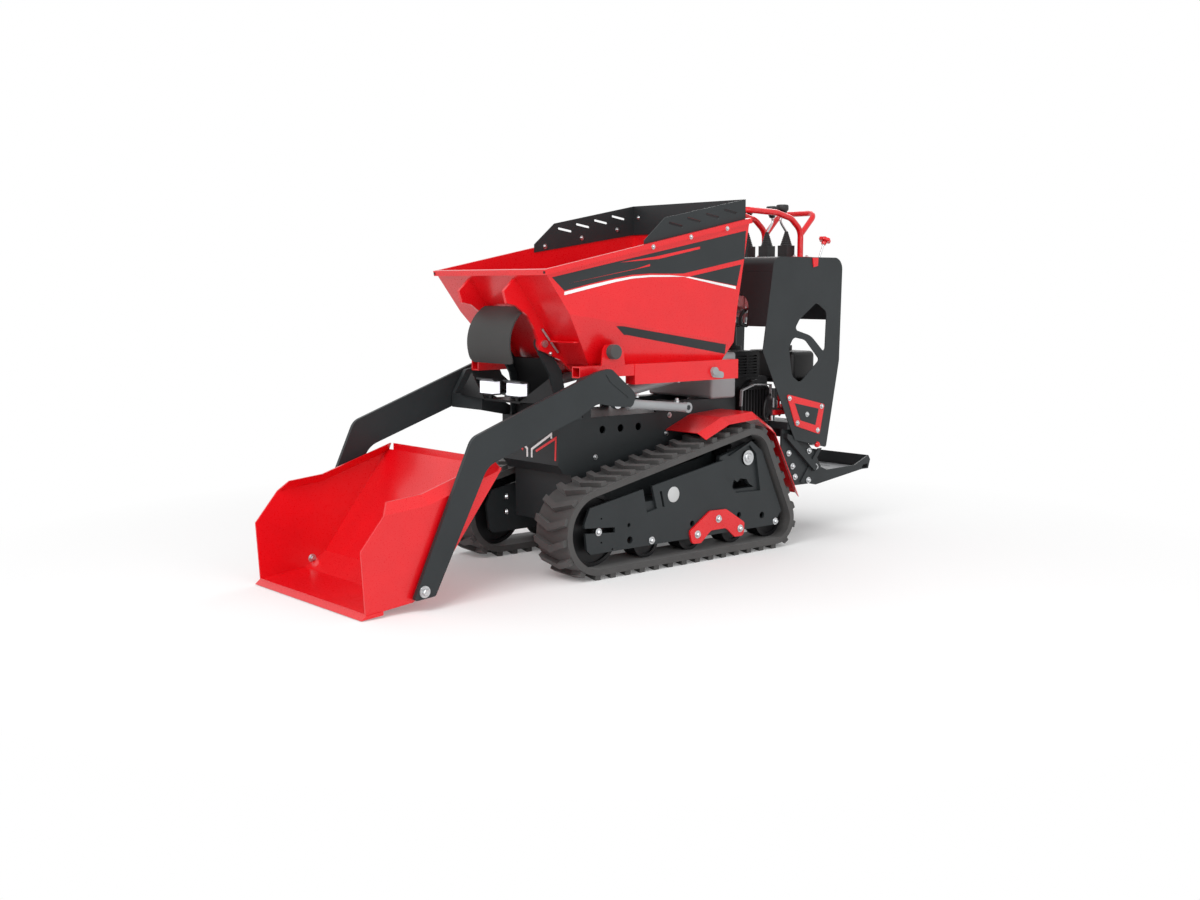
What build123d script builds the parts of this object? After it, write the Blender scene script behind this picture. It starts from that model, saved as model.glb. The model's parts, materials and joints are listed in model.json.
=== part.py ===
from build123d import *
from math import atan2, cos, degrees, hypot, pi, radians, sin, sqrt
import os

# Stand-on rubber-tracked site dumper with a self-loading front shovel and a tipping skip.
# Millimetres. +X is forward, +Y is the machine's left, +Z is up, the ground is Z = 0.
# Outlines marked (x, z) are seen from the left side.

# ---------------------------------------------------------------- tracks
MACHINE_WIDTH = 780.0        # over the two rubber tracks
BELT_WIDTH = 180.0
BELT_THICK = 24.0
LUG_HEIGHT = 18.0
LUG_LENGTH = 26.0            # along the belt
LUG_SWEEP = 30.0             # how far the chevron's point leads its ends
LUG_MARGIN = 5.0             # lug end to belt edge
LUG_ROOT = 6.0               # sunk into the belt so that it also meets the curved stretches
LUG_COUNT = 40
BELT_EDGE_Y = MACHINE_WIDTH / 2
BELT_MID_Y = BELT_EDGE_Y - BELT_WIDTH / 2
BELT_INNER_Y = BELT_EDGE_Y - BELT_WIDTH
RUN_GAP = 0.3                # wheel rim to belt
IDLER_X, IDLER_R = 365.0, 136.0
SPROCKET_X, SPROCKET_Z, SPROCKET_R = -438.0, 385.0, 96.0
TAIL_ROLLER_X, TAIL_ROLLER_R = -590.0, 76.0
BELT_FLOOR = LUG_HEIGHT + BELT_THICK
IDLER_Z = BELT_FLOOR + IDLER_R
TAIL_ROLLER_Z = BELT_FLOOR + TAIL_ROLLER_R
ROLLER_R = 64.0
ROLLER_Z = BELT_FLOOR + ROLLER_R
ROLLER_XS = (94.0, -140.0, -380.0)
WHEEL_WIDTH = 70.0
AXLE_R = 16.0

# ---------------------------------------------------------------- track frames
FRAME_PLATE = 12.0
FRAME_FACE_Y = BELT_EDGE_Y - 20.0    # outer face of the outer plate
FRAME_INNER_Y = BELT_INNER_Y + 22.0  # inner face of the inner plate
FRAME_OUTLINE = (            # (x, z)
    (403, 268), (429, 210), (417, 112), (398, 96), (-585, 96), (-634, 150),
    (-512, 408), (-450, 452), (-292, 388),
)
MOTOR_WINDOW = ((-291, 391), (-303, 313), (-364, 250), (-505, 246), (-478, 400), (-440, 437))
MOTOR_CARRIER = ((-280, 400), (-280, 300), (-360, 235), (-530, 235), (-505, 400), (-452, 445))
MOTOR_GAP = ((-350, 262), (-362, 302), (-384, 290), (-398, 304), (-436, 298), (-451, 278), (-478, 262))
CARRIER_Y = (FRAME_FACE_Y - 32.0, FRAME_FACE_Y - FRAME_PLATE)
HUB_R = 26.0
SPRING_WINDOW = ((142, 318), (96, 325), (69, 232), (121, 222))
SPRING_SLOT = ((55, 296), (45, 298), (29, 236), (39, 234))
IDLER_SLOT = ((440, 197), (440, 177), (282, 165), (282, 185))
ROUND_HOLES = ((-119, 153, 12), (-382, 159, 12), (212, 185, 8), (348, 224, 4), (348, 135, 4), (294, 104, 4))
LASH_HOLES = ((207, 128), (-517, 143))   # (x, z) of the tie-down holes
LASH_R = 14.0
BOGIE_OUTLINE = (            # (x, z), corner radius
    ((-98, 125), 14), ((-112, 74), 18), ((-160, 72), 16), ((-215, 116), 30), ((-300, 116), 30),
    ((-350, 74), 16), ((-402, 74), 18), ((-406, 128), 14), ((-300, 192), 14), ((-210, 194), 14),
)
BOGIE_THICK = 8.0
CORE_X = (-260.0, 190.0)
CORE_Z = (185.0, 262.0)
CROSS_BEAM_XS = (150.0, -250.0)
CROSS_BEAM = 80.0

# ---------------------------------------------------------------- chassis
SHEET = 6.0
CHASSIS_HALF = BELT_INNER_Y - 38.0
CHASSIS_FRONT_X = 392.0
CHASSIS_REAR_X = -181.0
CHASSIS_TOP = 575.0
CHASSIS_BELLY = 366.0
CHASSIS_HEEL = 440.0
BELLY_FRONT_X = 330.0
BELLY_REAR_X = -480.0
BELLY_BOTTOM = 170.0
SIDE_HOLES = ((172, 525), (79, 525), (-14, 525))
SIDE_HOLE_R = 15.0
REAR_FRAME_X = -560.0
REAR_FRAME_Z = (505.0, 612.0)
ENGINE_BED_X = -900.0
ENGINE_BED_Z = (470.0, 500.0)

# ---------------------------------------------------------------- skip
SKIP_WALL = 5.0
SKIP_HALF = 338.0
SKIP_SIDE = ((588, 1129), (327, 782), (-336, 782), (-372, 850), (-389, 977), (-458, 1339))
FOLD_FRONT = (500.0, 976.0)  # (x, z) of the side wall's fold line
FOLD_REAR = (-372.0, 850.0)
SKIP_FLOOR_HALF = 292.0
RIM_WIDTH = 16.0
RIM_HEIGHT = 20.0
SKIP_PIVOT = (433.0, 860.0)
SKIP_PIN_R = 14.0
PIN_FIT = 0.05               # radial running clearance of every pin
FLAP_HALF = 132.0
GUSSET_Y = (FLAP_HALF, FLAP_HALF + 14.0)
POST_Y = (FLAP_HALF - 15.0, FLAP_HALF - 3.0)
POST_HEAD_R = 28.0
POST_OUTLINE = (             # (x, z); its front edge stays behind the guard when the skip is tipped
    (458, 850), (392, 738), (384, 700), (388, CHASSIS_TOP),
    (300, CHASSIS_TOP), (338, 755), (408, 850), (433, 870),
)
CHANNEL_X = (-400.0, 420.0)
CHANNEL_Y = (SKIP_HALF - 53.0, SKIP_HALF)
CHANNEL_HEIGHT = 76.0
TUBE_HEIGHT = 42.0
TUBE_REAR_X = 155.0
BUMPER = (270.0, 832.0)      # (x, z) of the rubber stop for the raised arm
BUMPER_R = 27.0
BUMPER_LENGTH = 28.0
BUMPER_PLATE = ((319, 782), (205, 782), (215, 845), (240, 858), (300, 858), (312, 840))
GUSSET_OUTLINE = (           # (x, z) below the front wall's top, round to the wall's foot
    (617, 1054), (604, 1009), (563, 1002), (511, 965), (478, 915), (462, 872), (455, 838),
    (433, 830), (393, 812), (356, 796), (330, 774), (304, 752), (200, 752), (200, 782), (327, 782),
)
GUSSET_TOP = 1100.0
SHELF_Z = 866.0              # the stiffener on each side of the front wall
SHELF_REACH = 20.0
FLAP_R = 152.0               # outer radius of the rubber guard, centred on the skip pivot
FLAP_THICK = 6.0
FLAP_ANGLES = (64.0, -29.0)
BOARD = 4.0
BOARD_OUTLINE = ((105, 1207), (105, 1240), (0, 1327), (-437.7, 1412), (-437.7, 1290))
BOARD_SLOTS = ((-55, 1302), (-152, 1322), (-251, 1341), (-350, 1361))    # (x, z) of their middles
BOARD_SLOT_SIZE = (74.0, 9.0)
BOARD_SLOT_TILT = 9.0
REAR_BOARD_Z = (1290.0, 1412.0)

# ---------------------------------------------------------------- arms and shovel
ARM_FACE_Y = BELT_EDGE_Y
ARM_THICK = 15.0
NECK_FOOT_X = (436.0, 496.0)
NECK_FOOT_Z = (596.0, 650.0)
NECK_OUTLINE = (             # (x, z), round the goose-neck plate from its foot
    (NECK_FOOT_X[0], NECK_FOOT_Z[0]), (NECK_FOOT_X[1], NECK_FOOT_Z[0]), (NECK_FOOT_X[1], NECK_FOOT_Z[1]),
    (440, 742), (330, 762), (275, 740), (252, 690), (275, 655), (345, 655), (385, 700), (425, 700), (440, 660),
)
NECK_STAY = (                # (x, z), the plate from the chassis top to the outrigger
    (300, CHASSIS_TOP), (392, CHASSIS_TOP), (496, 596), (496, 650), (436, 650),
)
NECK_STAY_Y = (163.0, 175.0)
ARM_PIVOT = (310.0, 705.0)
ARM_SHAFT_R = 22.0
ARM_HUB_Y = (ARM_FACE_Y - 45.0, ARM_FACE_Y - 25.0)
ARM_OUTLINE = (              # (x, z), corner radius
    ((318, 775), 35), ((192, 674), 28), ((214, 629), 18), ((300, 635), 120), ((380, 651), 60),
    ((471, 604), 60), ((872, 466), 90), ((1091, 49), 10), ((1177, 42), 8), ((934, 566), 60), ((385, 764), 60),
)
ARM_GROOVE = ((346, 752), (326, 722), (238, 663))    # (x, z) of the bend line pressed into its head
ARM_GROOVE_SIZE = (5.0, 2.0)                         # width, depth
LIFT_EAR = (235.0, 640.0)
SHOVEL_PIN = (1135.0, 70.0)
SHOVEL_PIN_R = 16.0
SHOVEL_HALF = ARM_FACE_Y - ARM_THICK - 10.0
SHOVEL_WALL = 6.0
SHOVEL_FLOOR = ((1345, 17), (1280, 22), (1165, 34), (1074, 88), (797, 452), (797, 478))
SHOVEL_FOLD = ((1268, 335), (1095, 352), (797, 446))  # (x, z) where each side wall bends inwards
SHOVEL_FLANGE = 34.0         # rise, and inward reach, of the bent strip above that fold
SHOVEL_FRONT = ((1345, 17), (1358, 227))
SHOVEL_EDGE = ((1363, 3), (1280, 10), (1280, 22), (1345, 18))
SHOVEL_NOTCH = 16.0          # open corner between the back's lip and each side's flange

# ---------------------------------------------------------------- cylinders
TIP_BASE = (250.0, 655.0)
TIP_EYE = (-260.0, 740.0)
TIP_Y = CHANNEL_Y[0] - 31.0
TIP_BARREL_R = 22.0
TIP_ROD_R = 12.0
LIFT_BASE = (-130.0, 603.0)
LIFT_Y = ARM_HUB_Y[0] - 23.0
LIFT_BARREL_R = 18.0
LIFT_ROD_R = 10.0
EYE_R = 20.0
EYE_WIDTH = 24.0

# ---------------------------------------------------------------- tower
TOWER_HALF = 285.0
TOWER_SHEET = 4.0
CONSOLE_TOP = 1192.0
TOWER_OUTLINE = (            # (x, z), corner radius
    ((-664, CONSOLE_TOP), 45), ((-602, 802), 20), ((-809, 423), 10), ((-1012, 377), 10),
    ((-1088, 752), 60), ((-1099, CONSOLE_TOP), 50),
)
UPPER_WINDOW = (             # (x, z), corner radius
    ((-935, 1003), 30), ((-1000, 962), 34), ((-992, 785), 12),
    ((-900, 862), 100), ((-795, 890), 14), ((-826, 932), 40),
)
LOWER_WINDOW = (
    ((-762, 815), 20), ((-790, 858), 28), ((-865, 845), 60),
    ((-958, 758), 12), ((-835, 664), 28), ((-783, 695), 40),
)
COVER_OUTLINE = ((-748, 621), (-808, 483), (-964, 437), (-994, 565))
COVER_MIDDLE = ((-800, 580), (-838, 505), (-935, 478), (-955, 548))
COVER_THICK = 3.0
TOWER_FOOT_X = (-860.0, -765.0)
CONSOLE_REAR_X = -1062.0
BACK_PANEL_X = -1090.0
BACK_PANEL_Z = (925.0, 1110.0)
CONSOLE_BEND = 42.0          # outside radius of its rolled front edge
FRONT_SEAM_Z = 1130.0
FRONT_BOTTOM_Z = 905.0
FRONT_ARCH = (340.0, 1035.0, 60.0)   # width, top, corner radius
HOOP_R = 13.0
HOOP_HALF = 105.0
HOOP_LEG_X = -1028.0
HOOP_PATH = ((HOOP_LEG_X, CONSOLE_TOP), (HOOP_LEG_X, 1312), (-965, 1362), (-870, 1384), (-665, 1391))
HOOP_BENDS = (60, 70, 100, 60)
HOOP_FOOT = (54.0, 20.0, 6.0)        # half length, half width, thickness
GRAB_PATH = ((HOOP_LEG_X, 1292), (-1127, 1390))
BOOT_HALF = 26.0
BOOT_BOX = 55.0
BOOT_CONE = 62.0
BOOT_RINGS = 7
BOOT_TOP_R = 9.0
LEVER_R = 5.0
LEVERS = (                   # boot (x, y), then the bend and the knob as (x, z) from the boot's top
    ((-990, 57), (38, 40), (28, 62)),
    ((-990, -57), (-34, 42), (-32, 62)),
    ((-986, -172), (0, 38), (0, 60)),
)
KNOB_NECK = (11.0, 22.0, 24.0)       # lower radius, upper radius, height
KNOB_HEAD = (27.0, 28.0)             # radius, height
STOP_FOOT = (-1056.0, 190.0)         # (x, y)
STOP_HEAD = (-1082.0, 1250.0)        # (x, z)
STOP_STEM_R = 4.0
STAR_R = 27.0
STAR_THICK = 16.0
STAR_LOBES = 6

# ---------------------------------------------------------------- platform
PLATFORM_HALF = TOWER_HALF - 35.0
PLATFORM_HINGE = (-985.0, 262.0)
PLATFORM_FRONT_X = -968.0
PLATFORM_REAR_X = -1363.6
PLATFORM_PIN_R = 8.0
TRAY_SIDE = 6.0
TRAY_FLOOR_Z = (252.0, 256.0)
TRAY_SIDE_OUTLINE = (        # (x, z)
    (-962, 284), (-1030, 284), (-1062, 270), (-1256, 275), (-1350, 312), (PLATFORM_REAR_X, 292),
    (-1350, 274), (-1316, 272), (-1306, 262), (-1306, 252), (-990, 211), (-952, 219),
)
TRAY_REAR = ((-1346, 312), (-1350, 312), (PLATFORM_REAR_X, 292), (-1350, 252), (-1346, 252))

# ---------------------------------------------------------------- fenders
FENDER_EDGE = ((-170, 478), (-300, 530), (-462, 541), (-566, 476), (-716, 201))     # (x, z) of the outer edge
FENDER_DROP = 24.0           # fall of the folded border
FENDER_FOLD_Y = BELT_EDGE_Y - 38.0
FENDER_SHEET = 3.0

# ---------------------------------------------------------------- engine bay
OIL_TANK = ((-545.0, -400.0), (-190.0, 190.0), (612.0, 800.0))       # spans in x, y, z
ENGINE_CASE = ((-800.0, -600.0), (-150.0, 130.0), (500.0, 690.0))
ENGINE_DRUM = ((-700.0, 600.0), 78.0)        # (x, z), radius of the flywheel housing
SHROUD_Y = (165.0, 195.0)
SHROUD_OUTLINE = ((-570, 652), (-570, 560), (-615, 512), (-742, 512), (-742, 652))
SHROUD_FINS = 8
SHROUD_PITCH = 18.0
MUFFLER = ((-712.0, -560.0), (30.0, 165.0), (690.0, 800.0))
MUFFLER_SLOT = (54.0, 6.0, 12.0)             # length, height, pitch
MUFFLER_ROWS = 7
INTAKE_XY = (-750.0, -32.0)
INTAKE = ((40.0, 690.0, 814.0), (18.0, 814.0, 940.0))                # radius, from z, to z
FUEL_TANK_X = (-1062.0, -905.0)
FUEL_TANK_Y = (-100.0, 175.0)
FUEL_TANK_Z = (660.0, 790.0)
CARBURETTOR = ((-790.0, -742.0), (165.0, 212.0), (525.0, 600.0))
AIR_HORN = ((-812.0, 573.0), 30.0)           # (x, z), radius
FILTER_BOWL = ((-770.0, 185.0), 15.0)        # (x, y), radius
VALVE_BANK = ((-760.0, -690.0), (-160.0, 160.0), (940.0, 1030.0))
VALVE_SECTIONS = 5
VALVE_PITCH = 65.0
PORT_R = 12.0

# ---------------------------------------------------------------- lamps
LAMP_Y = 84.0
LAMP_SIZE = (32.0, 96.0, 50.0)
LAMP_X = 511.0
LAMP_Z = 690.0
LAMP_HOOD = ((-6, 0), (-6, 5), (30, 11), (30, 6), (16, 0))    # (x, z) from the middle of the lamp's top
LAMP_SHELF_Z = (640.0, 648.0)
LAMP_SHELF_HALF = 112.0
LAMP_BRACE = ((524, 106, 644), (501, 300, 650), (490, 240, 736))    # (x, y, z)

# ---------------------------------------------------------------- rear brackets
BRACKET_OUTLINE = (          # (x, z)
    (-752, 470), (-752, 385), (-829, 223), (-925, 222), (-1010, 246),
    (-1010, 292), (-975, 345), (-905, 418), (-860, 470),
)
BRACKET_THICK = 8.0
BRACE = ((-766, 452), (-800, 440), (-966, 296), (-950, 276), (-765, 432))
FLAT_BAR = ((-1008, 372), (-984, 372), (-872, 236), (-894, 224))
BRACKET_WEB_X = (-900.0, -880.0)

# ---------------------------------------------------------------- odd sizes
BASE_PIN_R = 10.0
FUEL_CAP_XY = (-985.0, 60.0)
FUEL_CAP_R = 34.0
FUEL_CAP_HEIGHT = 21.7
FUEL_CAP_NOTCHES = 10


# ================================================================ helpers
def on_side(points, y_low, y_high):
    """A plate whose (x, z) outline is a straight-sided polygon, from y_low to y_high."""
    face = make_face(Polyline(*points, close=True))
    return extrude(side_plane(y_high) * face, y_high - y_low)


def rounded_plate(points, radii, y_low, y_high):
    """A plate whose (x, z) outline has rounded corners."""
    face = make_face(FilletPolyline(*points, radius=radii, close=True))
    return extrude(side_plane(y_high) * face, y_high - y_low)


def outline_and_radii(rows):
    """Splits rows of ((x, z), corner radius) into the points and the radii."""
    return [row[0] for row in rows], [row[1] for row in rows]


def side_plane(y):
    """The plane at y whose own x and y are the machine's X and Z, and which extrudes towards -Y."""
    return Plane(origin=(0, y, 0), x_dir=(1, 0, 0), z_dir=(0, -1, 0))


def block(x, y, z):
    """A box from its (low, high) spans."""
    size = [high - low for low, high in (x, y, z)]
    middle = [(high + low) / 2 for low, high in (x, y, z)]
    return Pos(*middle) * Box(*size)


def bar_x(centre, radius, x_low, x_high):
    """A round bar along X whose axis passes through centre (y, z)."""
    return Pos((x_low + x_high) / 2, *centre) * Rot(0, 90, 0) * Cylinder(radius, x_high - x_low)


def bar_y(centre, radius, y_low, y_high):
    """A round bar along Y whose axis passes through centre (x, z)."""
    x, z = centre
    return Pos(x, (y_low + y_high) / 2, z) * Rot(90, 0, 0) * Cylinder(radius, y_high - y_low)


def both_sides(shape):
    """The shape and its mirror image on the machine's right."""
    return [shape, mirror(shape, about=Plane.XZ)]


def right_of(shape):
    return mirror(shape, about=Plane.XZ)


def tube(points, radius, bends):
    """A round bar along a path of straight runs and arcs."""
    path = FilletPolyline(*points, radius=bends) if len(points) > 2 else Line(*points)
    start = Plane(origin=path @ 0, z_dir=path % 0)
    return sweep(start * Circle(radius), path=path)


def distance(a, b):
    return hypot(b[0] - a[0], b[1] - a[1])


# ================================================================ tracks
def tangent_run(first, second):
    """Where a belt running anticlockwise leaves the first wheel and meets the second."""
    dx, dz = second[0] - first[0], second[1] - first[1]
    length = hypot(dx, dz)
    along = (first[2] - second[2]) / length
    across = (1 - along**2) ** 0.5
    normal = (dx / length * along + dz / length * across, dz / length * along - dx / length * across)
    leave = (first[0] + normal[0] * first[2], first[1] + normal[1] * first[2])
    meet = (second[0] + normal[0] * second[2], second[1] + normal[1] * second[2])
    return leave, meet, normal


def belt_runs(grow):
    """The belt's wheels, each grown by a thickness, with the straight run that follows each."""
    wheels = [
        (TAIL_ROLLER_X, TAIL_ROLLER_Z, TAIL_ROLLER_R + grow),
        (IDLER_X, IDLER_Z, IDLER_R + grow),
        (SPROCKET_X, SPROCKET_Z, SPROCKET_R + grow),
    ]
    return [(wheels[i], tangent_run(wheels[i], wheels[(i + 1) % 3])) for i in range(3)]


def belt_face(grow):
    runs = belt_runs(grow)
    edges = []
    for i, (wheel, (leave, meet, normal)) in enumerate(runs):
        before = runs[i - 1][1]
        bisector = (before[2][0] + normal[0], before[2][1] + normal[1])
        size = hypot(*bisector)
        middle = (wheel[0] + bisector[0] / size * wheel[2], wheel[1] + bisector[1] / size * wheel[2])
        edges.append(ThreePointArc(before[1], middle, leave))
        edges.append(Line(leave, meet))
    return make_face(edges)


def lug_stations():
    """Evenly spaced places on the belt's outer face, each with the angle of its outward normal."""
    runs = belt_runs(BELT_THICK)
    pieces = []
    for i, (wheel, (leave, meet, normal)) in enumerate(runs):
        start = degrees(atan2(runs[i - 1][1][2][1], runs[i - 1][1][2][0]))
        turn = (degrees(atan2(normal[1], normal[0])) - start) % 360
        pieces.append(("arc", radians(turn) * wheel[2], wheel, start))
        pieces.append(("run", distance(leave, meet), leave, meet))
    pitch = sum(piece[1] for piece in pieces) / LUG_COUNT
    stations = []
    travelled = 0.0
    for kind, length, place, end in pieces:
        while len(stations) * pitch < travelled + length - 1e-6:
            s = len(stations) * pitch - travelled
            if kind == "arc":
                angle = end + degrees(s / place[2])
                x = place[0] + place[2] * cos(radians(angle))
                z = place[1] + place[2] * sin(radians(angle))
            else:
                share = s / length
                x = place[0] + (end[0] - place[0]) * share
                z = place[1] + (end[1] - place[1]) * share
                angle = degrees(atan2(end[1] - place[1], end[0] - place[0])) - 90
            stations.append((x, z, angle))
        travelled += length
    return stations


def chevron():
    half = BELT_WIDTH / 2 - LUG_MARGIN
    edge = LUG_LENGTH / 2
    outline = Polyline(
        (edge, -half), (edge + LUG_SWEEP, 0), (edge, half),
        (-edge, half), (-edge + LUG_SWEEP, 0), (-edge, -half), close=True,
    )
    return Pos(0, 0, -LUG_ROOT) * extrude(make_face(outline), LUG_ROOT + LUG_HEIGHT)


def rubber_track():
    belt = extrude(side_plane(BELT_EDGE_Y) * (belt_face(BELT_THICK) - belt_face(0)), BELT_WIDTH)
    lug = chevron()
    lugs = []
    for x, z, angle in lug_stations():
        along = (sin(radians(angle)), 0, -cos(radians(angle)))
        outward = (cos(radians(angle)), 0, sin(radians(angle)))
        lugs.append(Plane(origin=(x, BELT_MID_Y, z), x_dir=along, z_dir=outward) * lug)
    return belt.fuse(*[piece.solid() for piece in lugs])


def track_wheel(x, z, radius):
    """A double-flanged wheel with a hollow face and its axle ends."""
    low, high = BELT_MID_Y - WHEEL_WIDTH / 2, BELT_MID_Y + WHEEL_WIDTH / 2
    wheel = bar_y((x, z), radius - RUN_GAP, low, high)
    recess = 8.0
    rim = 14.0
    for y_low in (low, high - recess):
        wheel -= bar_y((x, z), radius - rim, y_low, y_low + recess)
    axle_low = FRAME_INNER_Y + FRAME_PLATE
    axle_high = FRAME_FACE_Y - FRAME_PLATE
    return wheel + bar_y((x, z), AXLE_R, axle_low, axle_high)


def sprocket():
    """The drive wheel: a toothed rim that meshes with the belt's inner face, with its hub."""
    low, high = BELT_MID_Y - WHEEL_WIDTH / 2, BELT_MID_Y + WHEEL_WIDTH / 2 - 2
    centre = (SPROCKET_X, SPROCKET_Z)
    tooth_count = 11
    tooth_depth = 16.0
    gap_r = 12.0
    root = SPROCKET_R - RUN_GAP - tooth_depth
    wheel = bar_y(centre, SPROCKET_R - RUN_GAP, low, high)
    for i in range(tooth_count):
        angle = 2 * pi * i / tooth_count
        place = (SPROCKET_X + (root + gap_r) * cos(angle), SPROCKET_Z + (root + gap_r) * sin(angle))
        wheel -= bar_y(place, gap_r, low, high)
    motor = bar_y(centre, HUB_R + 18, FRAME_INNER_Y + FRAME_PLATE, low)
    return wheel + motor + bar_y(centre, HUB_R, high, FRAME_FACE_Y - 6)


def track_frame():
    """Two side plates joined by a core beam, with a set-back carrier plate round the drive's hub."""
    cut = (FRAME_FACE_Y - 2 * FRAME_PLATE, FRAME_FACE_Y + 1)
    outer = on_side(FRAME_OUTLINE, FRAME_FACE_Y - FRAME_PLATE, FRAME_FACE_Y)
    for window in (MOTOR_WINDOW, SPRING_WINDOW, SPRING_SLOT, IDLER_SLOT):
        outer -= on_side(window, *cut)
    for place in LASH_HOLES:
        outer -= bar_y(place, LASH_R, *cut)
    for x, z, radius in ROUND_HOLES:
        outer -= bar_y((x, z), radius, *cut)
    carrier = on_side(MOTOR_CARRIER, *CARRIER_Y)
    carrier -= on_side(MOTOR_GAP, CARRIER_Y[0] - 1, CARRIER_Y[1] + 1)
    carrier -= bar_y((SPROCKET_X, SPROCKET_Z), HUB_R + 6, CARRIER_Y[0] - 1, CARRIER_Y[1] + 1)
    inner = on_side(FRAME_OUTLINE, FRAME_INNER_Y, FRAME_INNER_Y + FRAME_PLATE)
    core = block(CORE_X, (FRAME_INNER_Y, FRAME_FACE_Y - FRAME_PLATE), CORE_Z)
    return outer + carrier + inner + core


def bogie_plate():
    """The red rocker plate over the two middle rollers."""
    return rounded_plate(*outline_and_radii(BOGIE_OUTLINE), FRAME_FACE_Y, FRAME_FACE_Y + BOGIE_THICK)


# ================================================================ chassis
def chassis_box():
    """The folded sheet-steel box between the tracks, with its bevelled belly and side holes."""
    side = (
        (CHASSIS_FRONT_X, CHASSIS_TOP), (CHASSIS_FRONT_X, 403), (361, CHASSIS_BELLY),
        (BELLY_FRONT_X, CHASSIS_BELLY), (BELLY_FRONT_X, BELLY_BOTTOM),
        (BELLY_REAR_X, BELLY_BOTTOM), (BELLY_REAR_X, CHASSIS_BELLY), (CHASSIS_REAR_X, CHASSIS_HEEL),
        (CHASSIS_REAR_X, CHASSIS_TOP),
    )
    inside = offset(make_face(Polyline(*side, close=True)), -SHEET, kind=Kind.INTERSECTION)
    inner_half = CHASSIS_HALF - SHEET
    box = on_side(side, -CHASSIS_HALF, CHASSIS_HALF)
    box -= extrude(side_plane(inner_half) * inside, 2 * inner_half)
    for place in SIDE_HOLES:
        box -= bar_y(place, SIDE_HOLE_R, -CHASSIS_HALF - 1, CHASSIS_HALF + 1)
    return box


def rear_frame():
    """Two rails behind the chassis box and the engine bed that they carry."""
    rail = block((REAR_FRAME_X, CHASSIS_REAR_X), (CHASSIS_HALF - 60, CHASSIS_HALF), REAR_FRAME_Z)
    bed = block((ENGINE_BED_X, CHASSIS_REAR_X), (-CHASSIS_HALF, CHASSIS_HALF), ENGINE_BED_Z)
    riser = block((REAR_FRAME_X, CHASSIS_REAR_X), (CHASSIS_HALF - 60, CHASSIS_HALF),
                  (ENGINE_BED_Z[1], REAR_FRAME_Z[0]))
    web = on_side(((BELLY_REAR_X, CHASSIS_BELLY), (CHASSIS_REAR_X, CHASSIS_HEEL), (CHASSIS_REAR_X, ENGINE_BED_Z[0]),
                   (BELLY_REAR_X, ENGINE_BED_Z[0])), -CHASSIS_HALF, CHASSIS_HALF)
    frame = bed + web
    for piece in both_sides(rail + riser):
        frame += piece
    return frame


def cross_beams():
    """The two square beams that carry the track frames."""
    beams = []
    middle = (CORE_Z[0] + CORE_Z[1]) / 2
    for x in CROSS_BEAM_XS:
        span_z = (middle - CROSS_BEAM / 2, middle + CROSS_BEAM / 2)
        beam = block((x - CROSS_BEAM / 2, x + CROSS_BEAM / 2), (CHASSIS_HALF, FRAME_INNER_Y), span_z)
        beams += both_sides(beam)
    return beams


def skip_posts():
    """The uprights at the front of the chassis that hold the skip's pivot pins."""
    return both_sides(on_side(POST_OUTLINE, *POST_Y) + bar_y(SKIP_PIVOT, POST_HEAD_R, *POST_Y))


def skip_pins():
    """Each pin passes through its gusset and is held in the post beside it."""
    return both_sides(bar_y(SKIP_PIVOT, SKIP_PIN_R, POST_Y[1], GUSSET_Y[1] + 6))


def arm_brackets():
    """Outriggers on the chassis box, each with a goose-neck plate that carries an arm's pivot."""
    plate = on_side(NECK_OUTLINE, *ARM_HUB_Y) - bar_y(ARM_PIVOT, ARM_SHAFT_R + PIN_FIT, 0, MACHINE_WIDTH)
    carrier = block(NECK_FOOT_X, (CHASSIS_HALF, ARM_HUB_Y[0]), NECK_FOOT_Z)
    foot = on_side(NECK_STAY, *NECK_STAY_Y)
    return both_sides(plate + carrier + foot)


# ================================================================ skip
def beyond(start, end, extra):
    """The point that lies extra past end on the line from start."""
    length = distance(start, end)
    return tuple(e + (e - s) / length * extra for s, e in zip(start, end))


def leaning_plane(inset):
    """The plane of the left wall below its fold, moved inwards by inset; its normal points out."""
    top = Vector(FOLD_FRONT[0], SKIP_HALF, FOLD_FRONT[1])
    rear = Vector(FOLD_REAR[0], SKIP_HALF, FOLD_REAR[1])
    low = Vector(0, SKIP_FLOOR_HALF, SKIP_SIDE[1][1])
    normal = (rear - top).cross(low - top).normalized()
    if normal.Y < 0:
        normal = normal * -1
    return Plane(origin=top - normal * inset, z_dir=normal)


def rim_plane(depth):
    """The plane of the rim's top, lowered by depth: x runs from the front corner to the rear."""
    front, rear = SKIP_SIDE[0], SKIP_SIDE[-1]
    length = distance(front, rear)
    along = ((rear[0] - front[0]) / length, 0, (rear[1] - front[1]) / length)
    up = (along[2], 0, -along[0])
    origin = (front[0] - up[0] * depth, 0, front[1] - up[2] * depth)
    return Plane(origin=origin, x_dir=along, z_dir=up)


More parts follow.
